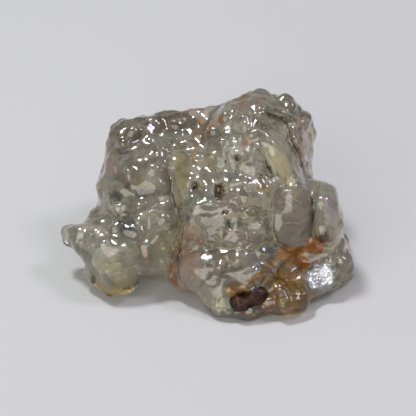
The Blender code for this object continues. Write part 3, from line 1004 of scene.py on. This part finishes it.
@dataclass(frozen=True)
class MineralSkin:
    """The clouds and the finest unevenness of the surface, and how their layers relate."""

    cloud_detail: float = 4.0
    cloud_roughness: float = 0.6
    wave_detail: float = 3.0
    wave_roughness: float = 0.55
    flakes_to_a_wave: float = 2.6
    spots_to_a_wave: float = 0.4
    spot_detail: float = 5.0

    def cloud_group(self) -> bpy.types.NodeTree:
        """Soft uneven clouds, as in the stone's body and along the edges of its stains.

        Returns:
            The node group.
        """
        bench, given, made = node_group("mineral_cloud", ("Often", "Low", "High", "Twist"), ("Mask",))
        cloud = bench.add(
            "ShaderNodeTexNoise",
            Vector=bench.add("ShaderNodeTexCoord").outputs["Object"],
            Scale=given.outputs["Often"],
            Detail=self.cloud_detail,
            Roughness=self.cloud_roughness,
            Distortion=given.outputs["Twist"],
        )
        mask = bench.add(
            "ShaderNodeMapRange",
            {"interpolation_type": "SMOOTHSTEP"},
            Value=cloud.outputs["Fac"],
            From_Min=given.outputs["Low"],
            From_Max=given.outputs["High"],
        )
        bench.feed(made.inputs["Mask"], mask.outputs["Result"])
        return bench.tree

    def skin_group(self) -> bpy.types.NodeTree:
        """Fine unevenness of a natural mineral surface, as heights, and its dulled spots.

        Returns:
            The node group.
        """
        bench, given, made = node_group("mineral_skin", ("Often", "Rough", "Calm"), ("Height", "Dulled"))
        place = bench.add("ShaderNodeTexCoord").outputs["Object"]
        often, rough = given.outputs["Often"], given.outputs["Rough"]
        waves = bench.add(
            "ShaderNodeTexNoise",
            Vector=place,
            Scale=often,
            Detail=self.wave_detail,
            Roughness=self.wave_roughness,
        )
        flakes = bench.add(
            "ShaderNodeTexVoronoi",
            {"feature": "F1"},
            Vector=place,
            Scale=bench.maths("MULTIPLY", often, self.flakes_to_a_wave),
        )
        spots = bench.add(
            "ShaderNodeTexNoise",
            Vector=place,
            Scale=bench.maths("MULTIPLY", often, self.spots_to_a_wave),
            Detail=self.spot_detail,
        )
        lively = bench.maths("SUBTRACT", 1.0, given.outputs["Calm"], clamp=True)
        chips = bench.maths("MULTIPLY", flakes.outputs["Distance"], rough)
        relief = bench.maths("ADD", waves.outputs["Fac"], chips)
        bench.feed(made.inputs["Height"], bench.maths("MULTIPLY", relief, lively))
        bench.feed(made.inputs["Dulled"], bench.maths("MULTIPLY", spots.outputs["Fac"], rough))
        return bench.tree


@dataclass
class Finishes:
    """The node groups that the stone's materials share."""

    cloud: bpy.types.NodeTree = field(default_factory=MineralSkin().cloud_group)
    skin: bpy.types.NodeTree = field(default_factory=MineralSkin().skin_group)

    def mask(self, bench: Bench, cloud: Cloud) -> Socket:
        """Puts a cloud in a material.

        Args:
            bench: the bench on the material's tree.
            cloud: the cloud.

        Returns:
            Its mask.
        """
        values = {"Often": cloud.often, "Low": cloud.low, "High": cloud.high, "Twist": cloud.twist}
        return bench.add("ShaderNodeGroup", {"node_tree": self.cloud}, **values).outputs["Mask"]

    def fine(self, bench: Bench, often: float, rough: object, calm: object = 0.0) -> bpy.types.Node:
        """Puts the fine skin in a material."""
        return bench.add("ShaderNodeGroup", {"node_tree": self.skin}, Often=often, Rough=rough, Calm=calm)


@dataclass(frozen=True)
class OpalFinish:
    """Glassy opal with a faint milkiness, clouded and stained, with painted shade, shadow, highlight tint
    and reflection in places.
    """

    body: Colour = (0.62, 0.60, 0.51)
    pale: Colour = (0.88, 0.87, 0.82)
    deep: Colour = (0.36, 0.33, 0.23)
    rosy: Colour = (0.60, 0.51, 0.45)
    wide: Cloud = Cloud(230.0, 0.40, 0.62, 0.8)
    drift: Cloud = Cloud(410.0, 0.48, 0.66, 1.0)
    close: Cloud = Cloud(900.0, 0.42, 0.70, 1.2)
    ragged: Cloud = Cloud(1300.0, 0.30, 0.62, 0.6)
    rosy_share: float = 0.4
    pale_share: float = 0.35
    smooth: float = 0.04
    frosted: float = 0.12
    dulled: float = 0.5
    transmission: float = 0.88
    ior: float = 1.45
    skin_roughness: float = 0.14
    skin_ior: float = 1.5
    skin_often: float = 1100.0
    skin_rough: float = 0.25
    chipped_rough: float = 1.2
    soak: Colour = (0.80, 0.77, 0.61)
    soak_density: float = 125.0
    pigment_depth: float = 2.0
    pigment_edge: float = 1.2
    bump: float = 0.000025

    def colour(self, bench: Bench, finishes: Finishes) -> Socket:
        """The clouded body colour with the stains, and the painted shade, shadow, highlight tint and
        reflection, over it.

        Args:
            bench: the bench on the material's tree.
            finishes: the shared node groups.

        Returns:
            The colour.
        """
        rosy = bench.maths("MULTIPLY", finishes.mask(bench, self.drift), self.rosy_share)
        pale = bench.maths("MULTIPLY", finishes.mask(bench, self.close), self.pale_share)
        colour = bench.blend(finishes.mask(bench, self.wide), self.body, self.deep)
        colour = bench.blend(rosy, colour, self.rosy)
        colour = bench.blend(pale, colour, self.pale)
        edge = bench.maths("SUBTRACT", finishes.mask(bench, self.ragged), 1.0)
        for pigment in Pigment:
            uneven = bench.maths("MULTIPLY_ADD", bench.attribute(pigment.layer), self.pigment_depth, edge)
            share = bench.maths("MULTIPLY", uneven, self.pigment_edge, clamp=True)
            colour = bench.blend(share, colour, pigment.value)
        return colour

    def material(self, finishes: Finishes) -> bpy.types.Material:
        """Builds the material.

        Args:
            finishes: the shared node groups.

        Returns:
            The material.
        """
        material, bench = new_material("clear_opal")
        calm = bench.attribute("calm")
        rough = bench.maths("MULTIPLY_ADD", bench.attribute("chipped"), self.chipped_rough, self.skin_rough)
        skin = finishes.fine(bench, self.skin_often, rough, calm)
        frost = bench.maths("MULTIPLY_ADD", skin.outputs["Dulled"], self.dulled, self.frosted)
        roughness = bench.add("ShaderNodeMix", {"data_type": "FLOAT"}, Factor=calm, A=frost, B=self.smooth)
        shader = bench.add(
            "ShaderNodeBsdfPrincipled",
            Base_Color=self.colour(bench, finishes),
            Roughness=roughness.outputs[0],
            Normal=bench.relief(skin.outputs["Height"], self.bump),
            Metallic=0.0,
            IOR=self.ior,
            Transmission_Weight=self.transmission,
            Coat_Weight=1.0,
            Coat_Roughness=self.skin_roughness,
            Coat_IOR=self.skin_ior,
        )
        soak = bench.add("ShaderNodeVolumeAbsorption", Color=(*self.soak, 1.0), Density=self.soak_density)
        bench.add("ShaderNodeOutputMaterial", Surface=shader.outputs[0], Volume=soak.outputs[0])
        return material


@dataclass(frozen=True)
class IronstoneFinish:
    """Dark red-brown ironstone, half glossy."""

    dark: Colour = (0.010, 0.004, 0.003)
    red: Colour = (0.060, 0.017, 0.007)
    cloud: Cloud = Cloud(900.0, 0.38, 0.66, 1.0)
    roughness: float = 0.30
    dulled: float = 0.35
    gloss: float = 0.22
    coat: float = 0.12
    coat_roughness: float = 0.05
    skin_often: float = 1500.0
    skin_rough: float = 0.8
    bump: float = 0.00008

    def material(self, finishes: Finishes) -> bpy.types.Material:
        """Builds the material.

        Args:
            finishes: the shared node groups.

        Returns:
            The material.
        """
        material, bench = new_material("ironstone")
        skin = finishes.fine(bench, self.skin_often, self.skin_rough)
        shader = bench.add(
            "ShaderNodeBsdfPrincipled",
            Base_Color=bench.blend(finishes.mask(bench, self.cloud), self.dark, self.red),
            Roughness=bench.maths("MULTIPLY_ADD", skin.outputs["Dulled"], self.dulled, self.roughness),
            Normal=bench.relief(skin.outputs["Height"], self.bump),
            Specular_IOR_Level=self.gloss,
            Coat_Weight=self.coat,
            Coat_Roughness=self.coat_roughness,
        )
        bench.add("ShaderNodeOutputMaterial", Surface=shader.outputs[0])
        return material


@dataclass(frozen=True)
class FilmFinish:
    """A film, veil, chip, crack, seam, spark or crust inside the stone. A bump of 0 is none."""

    name: str
    colour: Colour
    other: Colour
    metallic: float
    roughness: float
    bump: float
    transmission: float = 0.0
    cloud: Cloud = Cloud(1200.0, 0.35, 0.65, 1.0)
    skin_often: float = 1700.0
    skin_rough: float = 0.6

    def material(self, finishes: Finishes) -> bpy.types.Material:
        """Builds the material.

        Args:
            finishes: the shared node groups.

        Returns:
            The material.
        """
        material, bench = new_material(self.name)
        shader = bench.add(
            "ShaderNodeBsdfPrincipled",
            Base_Color=bench.blend(finishes.mask(bench, self.cloud), self.colour, self.other),
            Metallic=self.metallic,
            Roughness=self.roughness,
            Transmission_Weight=self.transmission,
        )
        if self.bump:
            skin = finishes.fine(bench, self.skin_often, self.skin_rough)
            bench.feed(shader.inputs["Normal"], bench.relief(skin.outputs["Height"], self.bump))
        bench.add("ShaderNodeOutputMaterial", Surface=shader.outputs[0])
        return material


class Film(Enum):
    """The finishes of what lies inside the stone."""

    SILVER = FilmFinish("silvery_film", (0.88, 0.90, 0.93), (0.70, 0.72, 0.75), 1.0, 0.16, 0.00008)
    MILK = FilmFinish("milky_veil", (0.80, 0.75, 0.58), (0.66, 0.61, 0.47), 0.0, 0.6, 0.00002, 0.5)
    TAUPE = FilmFinish("taupe_veil", (0.52, 0.45, 0.32), (0.32, 0.265, 0.18), 0.0, 0.6, 0.00005, 0.4)
    HAZE = FilmFinish("inner_haze", (0.62, 0.56, 0.42), (0.42, 0.37, 0.27), 0.0, 0.6, 0.00002, 0.65)
    # Pale white chips of parted layers, painted as glints
    PALE = FilmFinish("painted_glint_pale_chip", (0.94, 0.92, 0.84), (0.80, 0.76, 0.64), 0.0, 0.15, 0.00004)
    # White threads: the fine cracks, and the painted highlights on the rib and the clear domes
    BRIGHT = FilmFinish("bright_crack_and_painted_highlight", (0.90, 0.90, 0.92), (0.70, 0.70, 0.72), 0.0, 0.3, 0.00002)
    DARK = FilmFinish("dark_seam", (0.055, 0.026, 0.015), (0.030, 0.014, 0.009), 0.0, 0.5, 0.00002)
    # Green and pink: painted iridescent glints
    SPARK = FilmFinish("painted_glint_spark", (0.25, 0.90, 0.35), (0.95, 0.35, 0.60), 0.0, 0.4, 0.00008)
    CRUST = FilmFinish(
        "iron_crust", (0.88, 0.43, 0.06), (0.42, 0.13, 0.020), 0.0, 0.45, 0.0, 0.3,
        Cloud(1500.0, 0.40, 0.60, 0.8),
    )


@dataclass
class OpalStone:
    """The opal: one glassy mass with small growths, ripples, creases, pits, stains and patches of painted
    shade and light.
    """

    voxel: float = 0.165
    evening: int = 4
    growth_radius: Span = (0.5, 1.05)
    growth_spacing: float = 1.1
    growth_rise: float = 0.17
    growth_mean: float = 0.055
    growth_loss: float = 0.8
    warp: float = 0.25
    warp_often: float = 0.8
    warp_octaves: int = 2
    warp_offsets: Point = (0.0, 31.0, 67.0)
    flake_squash: Point = (1.0, 1.0, 1.5)
    flake_often: float = 0.8
    flake_tilt: float = 0.18
    flake_step: float = 0.12
    ripple_squash: Point = (0.7, 0.7, 1.5)
    ripple_often: float = 0.9
    ripple_octaves: int = 3
    ripple_offset: float = 11.0
    ripple_steep: float = 2.2
    ripple_mean: float = 0.5
    ripple_rise: float = 0.075
    chip_often: float = 2.2
    chip_tilt: float = 1.2
    scar: Place = (-9.04, -0.87)
    scar_squash: Place = (1.0, 1.25)
    scar_reach: float = 3.0
    scar_rise: float = 0.05
    scar_ring: float = 0.55
    rounding: int = 1
    rounding_share: float = 0.4
    calming: int = 14
    calming_share: float = 0.6
    seat_reach: float = 0.62
    seat_fade: float = 0.3
    seat_gap: float = 0.02
    seed: int = 41

    def build(self, finish: bpy.types.Material, grain: bpy.types.Object) -> bpy.types.Object:
        """Makes the stone and dresses it.

        Args:
            finish: the opal's material.
            grain: the grain that the stone closes round.

        Returns:
            The stone.
        """
        stone = refined_copy("opal", "opal_stone", self.voxel, self.evening)
        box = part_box("opal")
        self.grow(stone.data, box)
        self.cut(stone.data, box)
        self.seat(stone.data, grain)
        self.paint_pigments(stone.data)
        stone.data.materials.append(finish)
        stone.data.shade_smooth()
        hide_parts("opal")
        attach(stone, BODY)
        return stone

    def grow(self, mesh: bpy.types.Mesh, box: Box) -> None:
        """Raises the growths, flakes, ripples and chips.

        Args:
            mesh: the stone's mesh.
            box: the box that it stays in.
        """
        points, normals, places, facing = seen_surface(mesh)
        calm = np.clip(covered(places, SMOOTH) * facing, 0.0, 1.0)
        rippled = covered(places, RIPPLED) * facing
        chipped = covered(places, CHIPPED) * facing
        tree = vertex_tree(points)
        domes = scattered_domes(
            points, tree, self.growth_radius, self.growth_spacing, self.growth_rise, self.seed
        )
        lift = (dome_rise(len(points), tree, domes) - self.growth_mean) * (1.0 - calm)
        for fading in (rippled, chipped):
            lift *= 1.0 - self.growth_loss * fading
        lift = np.maximum(lift, dome_rise(len(points), tree, placed_beads(points, places)))
        for heights in self.ripples(points):
            lift += heights * rippled * (1.0 - calm)
        lift += flaked(points, self.chip_often, self.chip_tilt, 0.0) * chipped
        lift += (self.scar_rings(places) + sum(mark.share(places) for mark in SWELLS + RIBS)) * facing
        points += normals * lift[:, None]
        pairs = edge_pairs(mesh)
        for _ in range(self.rounding):
            points = evened(points, pairs, self.rounding_share)
        for _ in range(self.calming):
            points += (evened(points, pairs, self.calming_share) - points) * calm[:, None]
        set_vertices(mesh, kept_in_box(points, box))
        write_layer(mesh, "calm", calm)
        write_layer(mesh, "chipped", chipped)

    def ripples(self, points: np.ndarray) -> tuple[np.ndarray, np.ndarray]:
        """Shelly flakes, and the ripples over them.

        Args:
            points: N by 3 points on the surface, in millimetres.

        Returns:
            N heights of the flakes and N of the ripples, in millimetres.
        """
        swings = [sampled(points, self.warp_often, self.warp_octaves, at) for at in self.warp_offsets]
        warped = points + self.warp * np.stack(swings, axis=1)
        flat = warped * np.array(self.flake_squash)
        flakes = flaked(flat, self.flake_often, self.flake_tilt, self.flake_step)
        drawn = warped * np.array(self.ripple_squash)
        waves = sampled(drawn, self.ripple_often, self.ripple_octaves, self.ripple_offset)
        ridges = 1.0 - np.abs(waves) * self.ripple_steep
        return flakes, (ridges - self.ripple_mean) * self.ripple_rise

    def scar_rings(self, places: np.ndarray) -> np.ndarray:
        """Ripples round the shell-like scar on the left lobe.

        Args:
            places: N by 2 places.

        Returns:
            N heights in millimetres.
        """
        gap = np.linalg.norm((places - np.array(self.scar)) * np.array(self.scar_squash), axis=1)
        fade = np.clip(1.0 - gap / self.scar_reach, 0.0, 1.0)
        return self.scar_rise * np.cos(gap / self.scar_ring * math.tau) * np.sqrt(fade)

    def cut(self, mesh: bpy.types.Mesh, box: Box) -> None:
        """Cuts the sharp creases and the pits.

        Args:
            mesh: the stone's mesh.
            box: the box that it stays in.
        """
        points, normals, places, facing = seen_surface(mesh)
        depth = sum(mark.share(places) for mark in CREASES + PITS)
        set_vertices(mesh, kept_in_box(points - normals * (depth * facing)[:, None], box))

    def seat(self, mesh: bpy.types.Mesh, grain: bpy.types.Object) -> None:
        """Draws the edge of the socket up to the grain.

        Args:
            mesh: the stone's mesh.
            grain: the grain.
        """
        skin = surface_tree(grain)
        points = vertex_array(mesh)
        for index, point in enumerate(points):
            found, _, _, gap = skin.find_nearest(Vector(point), self.seat_reach)
            if found is None or gap == 0.0:
                continue
            nearer = np.array(found) + (point - np.array(found)) / gap * self.seat_gap
            share = min((self.seat_reach - gap) / self.seat_fade, 1.0)
            points[index] += (nearer - point) * share
        set_vertices(mesh, points)

    def paint_pigments(self, mesh: bpy.types.Mesh) -> None:
        """Writes how much of each pigment there is at each vertex.

        Args:
            mesh: the stone's mesh.
        """
        _, _, places, facing = seen_surface(mesh)
        for pigment in Pigment:
            write_layer(mesh, pigment.layer, covered(places, PIGMENT_MARKS[pigment]) * facing)


@dataclass
class IronstoneGrain:
    """The dark grain in the foot, with its own rough skin."""

    voxel: float = 0.10
    evening: int = 4
    swelling: float = 0.10
    lump_often: float = 1.1
    lump_octaves: int = 2
    lump_rise: float = 0.14
    rough_often: float = 3.2
    rough_octaves: int = 3
    rough_rise: float = 0.05
    highest: float = 0.40
    main_lobe: Patch = Patch((5.1, -3.5), (1.0, 0.9), 0.32)
    notch: Patch = Patch((3.9, -3.3), (0.6, 0.5), -0.40)

    def build(self, finish: bpy.types.Material) -> bpy.types.Object:
        """Makes the grain and dresses it.

        Args:
            finish: the ironstone's material.

        Returns:
            The grain.
        """
        grain = refined_copy("ironstone_grain", "ironstone_grain_skin", self.voxel, self.evening)
        points, normals, places, _ = seen_surface(grain.data)
        lift = self.swelling + sampled(points, self.lump_often, self.lump_octaves) * self.lump_rise
        lift += sampled(points, self.rough_often, self.rough_octaves) * self.rough_rise
        lift += self.main_lobe.share(places) + self.notch.share(places)
        points = points + normals * np.minimum(lift, self.highest)[:, None]
        set_vertices(grain.data, kept_in_box(points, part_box("opal")))
        grain.data.materials.append(finish)
        grain.data.shade_smooth()
        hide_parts("ironstone_grain")
        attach(grain, BODY)
        return grain


class StoneSkin:
    """The stone's finished surface, to place what lies under it."""

    def __init__(self, stone: bpy.types.Object) -> None:
        """Reads the stone's mesh."""
        self.tree = surface_tree(stone)

    def under(self, place: Place, depth: float) -> Vector:
        """The point under the surface that shows at a place.

        Args:
            place: the place on the show face.
            depth: how deep it lies, in millimetres.

        Returns:
            The point, in millimetres.
        """
        eye, way = SHOW_FACE.sight_line(place)
        found, normal, _, _ = self.tree.ray_cast(eye, way)
        if found is None:
            found, normal, _, _ = self.tree.find_nearest(eye + way * SHOW_FACE.eye_distance)
        return found - normal * depth

    def behind(self, place: Place, depth: float) -> Vector:
        """The point straight behind the surface that shows at a place."""
        return self.under(place, 0.0) + SHOW_FACE.sight_line(place)[1] * depth


def rounded_path(path: Path) -> np.ndarray:
    """A path with its corners cut off.

    Args:
        path: the places that it runs through.

    Returns:
        The places along the rounded path.
    """
    curve = np.array(path)
    for _ in range(CORNER_ROUNDS):
        nearer = curve[:-1] * (1.0 - CORNER_CUT) + curve[1:] * CORNER_CUT
        farther = curve[:-1] * CORNER_CUT + curve[1:] * (1.0 - CORNER_CUT)
        inner = np.stack([nearer, farther], axis=1).reshape(-1, 2)
        curve = np.concatenate([curve[:1], inner[1:-1], curve[-1:]])
    return curve


@dataclass
class ThinPieces:
    """Thin closed chips and threads that lie inside the stone, gathered in one mesh."""

    skin: StoneSkin
    rings: int = 2
    spokes: int = 7
    bite_often: float = 2.0
    crumple_often: float = 3.1
    steps_to_a_run: int = 3
    tip: float = 0.15
    wander: float = 0.14
    wander_often: float = 1.7
    straight: bool = False
    form: bmesh.types.BMesh = field(default_factory=bmesh.new)

    def spot(self, place: Place, depth: float) -> Vector:
        """The point at a depth, square to the surface or straight behind it."""
        return self.skin.behind(place, depth) if self.straight else self.skin.under(place, depth)

    def chip(self, patch: Patch, depth: float, thick: float, wrinkle: float, ragged: float) -> None:
        """Adds a chip that follows the surface above it.

        Args:
            patch: its place, half sizes and turn.
            depth: how deep it lies.
            thick: how thick its middle is.
            wrinkle: how far it is wrinkled up and down.
            ragged: how uneven its edge is.
        """
        turn = math.radians(patch.turn)
        rows: list[list[list[bmesh.types.BMVert]]] = []
        for ring in range(self.rings + 1):
            out = ring / self.rings
            row = []
            for spoke in range(self.spokes if ring else 1):
                angle = math.tau * spoke / self.spokes
                rim = Vector((math.cos(angle), math.sin(angle), patch.place[0])) * self.bite_often
                bite = 1.0 + ragged * noise.noise(rim)
                along, beside = (half * out * bite for half in patch.half)
                along, beside = along * math.cos(angle), beside * math.sin(angle)
                place = (
                    patch.place[0] + along * math.cos(turn) - beside * math.sin(turn),
                    patch.place[1] + along * math.sin(turn) + beside * math.cos(turn),
                )
                crumple = wrinkle * noise.noise(Vector((place[0], place[1], depth)) * self.crumple_often)
                middle = thick * 0.5 * math.sqrt(1.0 - out * out)
                levels = (-middle, middle) if ring < self.rings else (0.0,)
                row.append([self.form.verts.new(self.spot(place, depth + crumple + at)) for at in levels])
            rows.append(row)
        self.join(rows)

    def join(self, rows: list[list[list[bmesh.types.BMVert]]]) -> None:
        """Closes a chip's upper and lower faces over its rings.

        Args:
            rows: the chip's vertices, by ring, by spoke and by side.
        """
        for side in (0, 1):
            for inner, outer in zip(rows, rows[1:]):
                for spoke in range(self.spokes):
                    after = (spoke + 1) % self.spokes
                    corners = [outer[at][side % len(outer[at])] for at in (spoke, after)]
                    if len(inner) == 1:
                        corners.append(inner[0][side])
                    else:
                        corners += [inner[after][side], inner[spoke][side]]
                    self.form.faces.new(corners if side else corners[::-1])

    def thread(self, path: Path, depth: float, half_width: float) -> None:
        """Adds a fine thread, thickest at its middle.

        Args:
            path: the places that it runs through.
            depth: how deep it lies.
            half_width: half its width at the middle.
        """
        curve = rounded_path(path)
        runs = len(curve) - 1
        steps = self.steps_to_a_run * runs
        rows = []
        for step in range(steps + 1):
            share = step / steps * runs
            first = min(int(share), runs - 1)
            start, end = curve[first], curve[first + 1]
            place = start + (end - start) * (share - first)
            sway = noise.noise_vector(Vector((*place, depth)) * self.wander_often)
            place = place + np.array(sway)[:2] * self.wander
            run = (end - start) / np.linalg.norm(end - start)
            width = half_width * (self.tip + (1.0 - self.tip) * math.sin(math.pi * step / steps))
            across = np.array([-run[1], run[0]]) * width
            ring = (
                (place - across, depth),
                (place, depth - width),
                (place + across, depth),
                (place, depth + width),
            )
            rows.append([self.form.verts.new(self.skin.under(tuple(spot), deep)) for spot, deep in ring])
        for one, other in zip(rows, rows[1:]):
            for side in range(len(one)):
                after = (side + 1) % len(one)
                self.form.faces.new((one[side], one[after], other[after], other[side]))
        self.form.faces.new(rows[0][::-1])
        self.form.faces.new(rows[-1])

    def finished(self, name: str, slot: str, finish: bpy.types.Material) -> bpy.types.Object:
        """Makes the piece.

        Args:
            name: its name.
            slot: not used.
            finish: its material.

        Returns:
            The piece.
        """
        bmesh.ops.scale(self.form, vec=(MM, MM, MM), verts=self.form.verts)
        bmesh.ops.recalc_face_normals(self.form, faces=self.form.faces)
        mesh = bpy.data.meshes.new(name)
        self.form.to_mesh(mesh)
        self.form.free()
        mesh.shade_smooth()
        mesh.materials.append(finish)
        piece = bpy.data.objects.new(name, mesh)
        bpy.context.scene.collection.objects.link(piece)
        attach(piece, BODY)
        return piece


@dataclass(frozen=True)
class Strewing:
    """Small chips strewn over marks: how many, and the spans of their half sizes and depths."""

    marks: tuple[Patch, ...]
    count: int
    half: Span
    depth: Span
    thick: float = 0.03
    wrinkle: float = 0.1
    ragged: float = 0.6
    spread: float = 0.55
    seed: int = 7

    def pieces(self, skin: StoneSkin) -> ThinPieces:
        """Strews the chips, most of them near the middles of the marks.

        Args:
            skin: the stone's surface.

        Returns:
            The chips.
        """
        rng = random.Random(self.seed)
        pieces = ThinPieces(skin)
        for _ in range(self.count):
            mark = rng.choice(self.marks)
            spreads = zip(mark.place, mark.half)
            place = tuple(rng.gauss(middle, self.spread * reach) for middle, reach in spreads)
            halves = (rng.uniform(*self.half), rng.uniform(*self.half))
            patch = Patch(place, halves, 1.0, rng.uniform(0.0, 180.0))
            pieces.chip(patch, rng.uniform(*self.depth), self.thick, self.wrinkle, self.ragged)
        return pieces


@dataclass(frozen=True)
class Layers:
    """Thin layers, one to a patch, whose strength is its depth. As they stand they suit cloudy veils."""

    patches: tuple[Patch, ...]
    thick: float = 0.15
    wrinkle: float = 0.2
    ragged: float = 0.25
    rings: int = 8
    spokes: int = 24
    straight: bool = True

    def pieces(self, skin: StoneSkin) -> ThinPieces:
        """Lays the layers.

        Args:
            skin: the stone's surface.

        Returns:
            The layers.
        """
        pieces = ThinPieces(skin, self.rings, self.spokes, straight=self.straight)
        for patch in self.patches:
            pieces.chip(patch, patch.strength, self.thick, self.wrinkle, self.ragged)
        return pieces


@dataclass(frozen=True)
class Threads:
    """Hair-thin cracks, painted highlights or seams, all at one depth."""

    strokes: tuple[Stroke, ...]
    depth: float

    def pieces(self, skin: StoneSkin) -> ThinPieces:
        """Runs the threads.

        Args:
            skin: the stone's surface.

        Returns:
            The threads.
        """
        pieces = ThinPieces(skin)
        for stroke in self.strokes:
            pieces.thread(stroke.path, self.depth, stroke.half_width)
        return pieces


@dataclass
class Inclusions:
    """What shows inside the stone: specks, crust, chips, a silvery film, cracks, painted highlights, seams,
    veils and sparks; the pale chips and the coloured sparks are painted glints.
    """

    specks: Strewing = Strewing(SPECKLED, 220, (0.02, 0.15), (0.03, 0.25))
    crust: Strewing = Strewing(PIGMENT_MARKS[Pigment.RUST][:4], 240, (0.07, 0.26), (0.05, 0.55))
    # The pale chips, painted glints
    chips: Strewing = Strewing(SPARKLING, 130, (0.04, 0.22), (0.04, 0.30))
    film: Layers = Layers(SILVERY, thick=0.03, wrinkle=FILM_WRINKLE, rings=14, spokes=40, straight=False)
    # The cracks, with the painted highlights among them
    cracks: Threads = Threads(CRACKS_AND_PAINTED_HIGHLIGHTS, 0.12)
    seams: Threads = Threads(SEAMS, 0.05)
    milky: Layers = Layers(MILKY_VEILS)
    taupe: Layers = Layers(TAUPE_VEILS)
    haze: Layers = Layers(HAZE)
    # The coloured sparks, painted iridescent glints
    sparks: Layers = Layers(SPARKS, thick=0.03, wrinkle=0.0, ragged=0.4, rings=2, spokes=7, straight=False)

    def build(self, skin: StoneSkin, finishes: Finishes) -> list[bpy.types.Object]:
        """Makes the pieces.

        Args:
            skin: the stone's surface.
            finishes: the shared node groups.

        Returns:
            The pieces.
        """
        films = {film: film.value.material(finishes) for film in Film}
        made = (
            ("brown_specks", "ironstone", Film.DARK, self.specks),
            ("iron_crust", "ironstone", Film.CRUST, self.crust),
            ("painted_glint_pale_chips", "opal", Film.PALE, self.chips),
            ("silvery_film", "opal", Film.SILVER, self.film),
            ("fine_cracks_and_painted_highlights", "opal", Film.BRIGHT, self.cracks),
            ("dark_seams", "ironstone", Film.DARK, self.seams),
            ("milky_veils", "opal", Film.MILK, self.milky),
            ("taupe_veils", "opal", Film.TAUPE, self.taupe),
            ("inner_haze", "opal", Film.HAZE, self.haze),
            ("painted_glint_sparks", "opal", Film.SPARK, self.sparks),
        )
        return [make.pieces(skin).finished(name, slot, films[film]) for name, slot, film, make in made]


@dataclass(frozen=True)
class Lamp:
    """A round soft light that points at the stone: place and width in millimetres, power in watts."""

    name: str
    place: Point
    width: float
    power: float
    colour: Colour

    def build(self) -> None:
        """Makes the light."""
        lamp = bpy.data.lights.new(self.name, "AREA")
        lamp.shape = "DISK"
        lamp.size = self.width * MM
        lamp.energy = self.power
        lamp.color = self.colour
        obj = bpy.data.objects.new(self.name, lamp)
        obj.location = Vector(self.place) * MM
        obj.rotation_mode = "QUATERNION"
        obj.rotation_quaternion = (-obj.location).to_track_quat("-Z", "Y")
        bpy.context.scene.collection.objects.link(obj)


@dataclass
class Studio:
    """The pale floor, the lights and the soft surroundings."""

    floor_half: float = 400.0
    floor_colour: Colour = (0.42, 0.416, 0.41)
    floor_roughness: float = 0.85
    sky: Colour = (0.92, 0.95, 1.0)
    sky_strength: float = 0.40
    lamps: tuple[Lamp, ...] = (
        Lamp("key", (-80.0, 45.0, 285.0), 52.0, 0.66, (0.94, 0.97, 1.0)),
        Lamp("side", (170.0, 0.0, 260.0), 80.0, 0.30, (0.88, 0.82, 1.0)),
        Lamp("front", (-150.0, -300.0, 150.0), 400.0, 1.0, (1.0, 0.97, 0.92)),
    )

    def build(self) -> None:
        """Makes the floor, the lights and the world."""
        self.floor()
        for lamp in self.lamps:
            lamp.build()
        world = bpy.data.worlds.new("surroundings")
        world.use_nodes = True
        background = world.node_tree.nodes["Background"]
        background.inputs["Color"].default_value = (*self.sky, 1.0)
        background.inputs["Strength"].default_value = self.sky_strength
        bpy.context.scene.world = world
        bpy.context.scene.view_settings.view_transform = "Standard"

    def floor(self) -> None:
        """Makes the floor, which isn't part of the stone."""
        half = self.floor_half * MM
        mesh = bpy.data.meshes.new("floor")
        corners = [(-half, -half, 0.0), (half, -half, 0.0), (half, half, 0.0), (-half, half, 0.0)]
        mesh.from_pydata(corners, [], [(0, 1, 2, 3)])
        floor = bpy.data.objects.new("floor", mesh)
        bpy.context.scene.collection.objects.link(floor)
        material, bench = new_material("pale_floor")
        shader = bench.add(
            "ShaderNodeBsdfPrincipled", Base_Color=(*self.floor_colour, 1.0), Roughness=self.floor_roughness
        )
        bench.add("ShaderNodeOutputMaterial", Surface=shader.outputs[0])
        mesh.materials.append(material)


def main() -> None:
    """Builds the stone, the grain in it and the studio round them."""
    logging.basicConfig(level=logging.INFO, format="%(name)s: %(message)s")
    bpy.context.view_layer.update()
    finishes = Finishes()
    grain = IronstoneGrain().build(IronstoneFinish().material(finishes))
    log.info("%s has %d faces", grain.name, len(grain.data.polygons))
    stone = OpalStone().build(OpalFinish().material(finishes), grain)
    log.info("%s has %d faces", stone.name, len(stone.data.polygons))
    for piece in Inclusions().build(StoneSkin(stone), finishes):
        log.info("%s has %d faces", piece.name, len(piece.data.polygons))
    Studio().build()
    SHOW_FACE.camera()


if __name__ == "__main__":
    main()
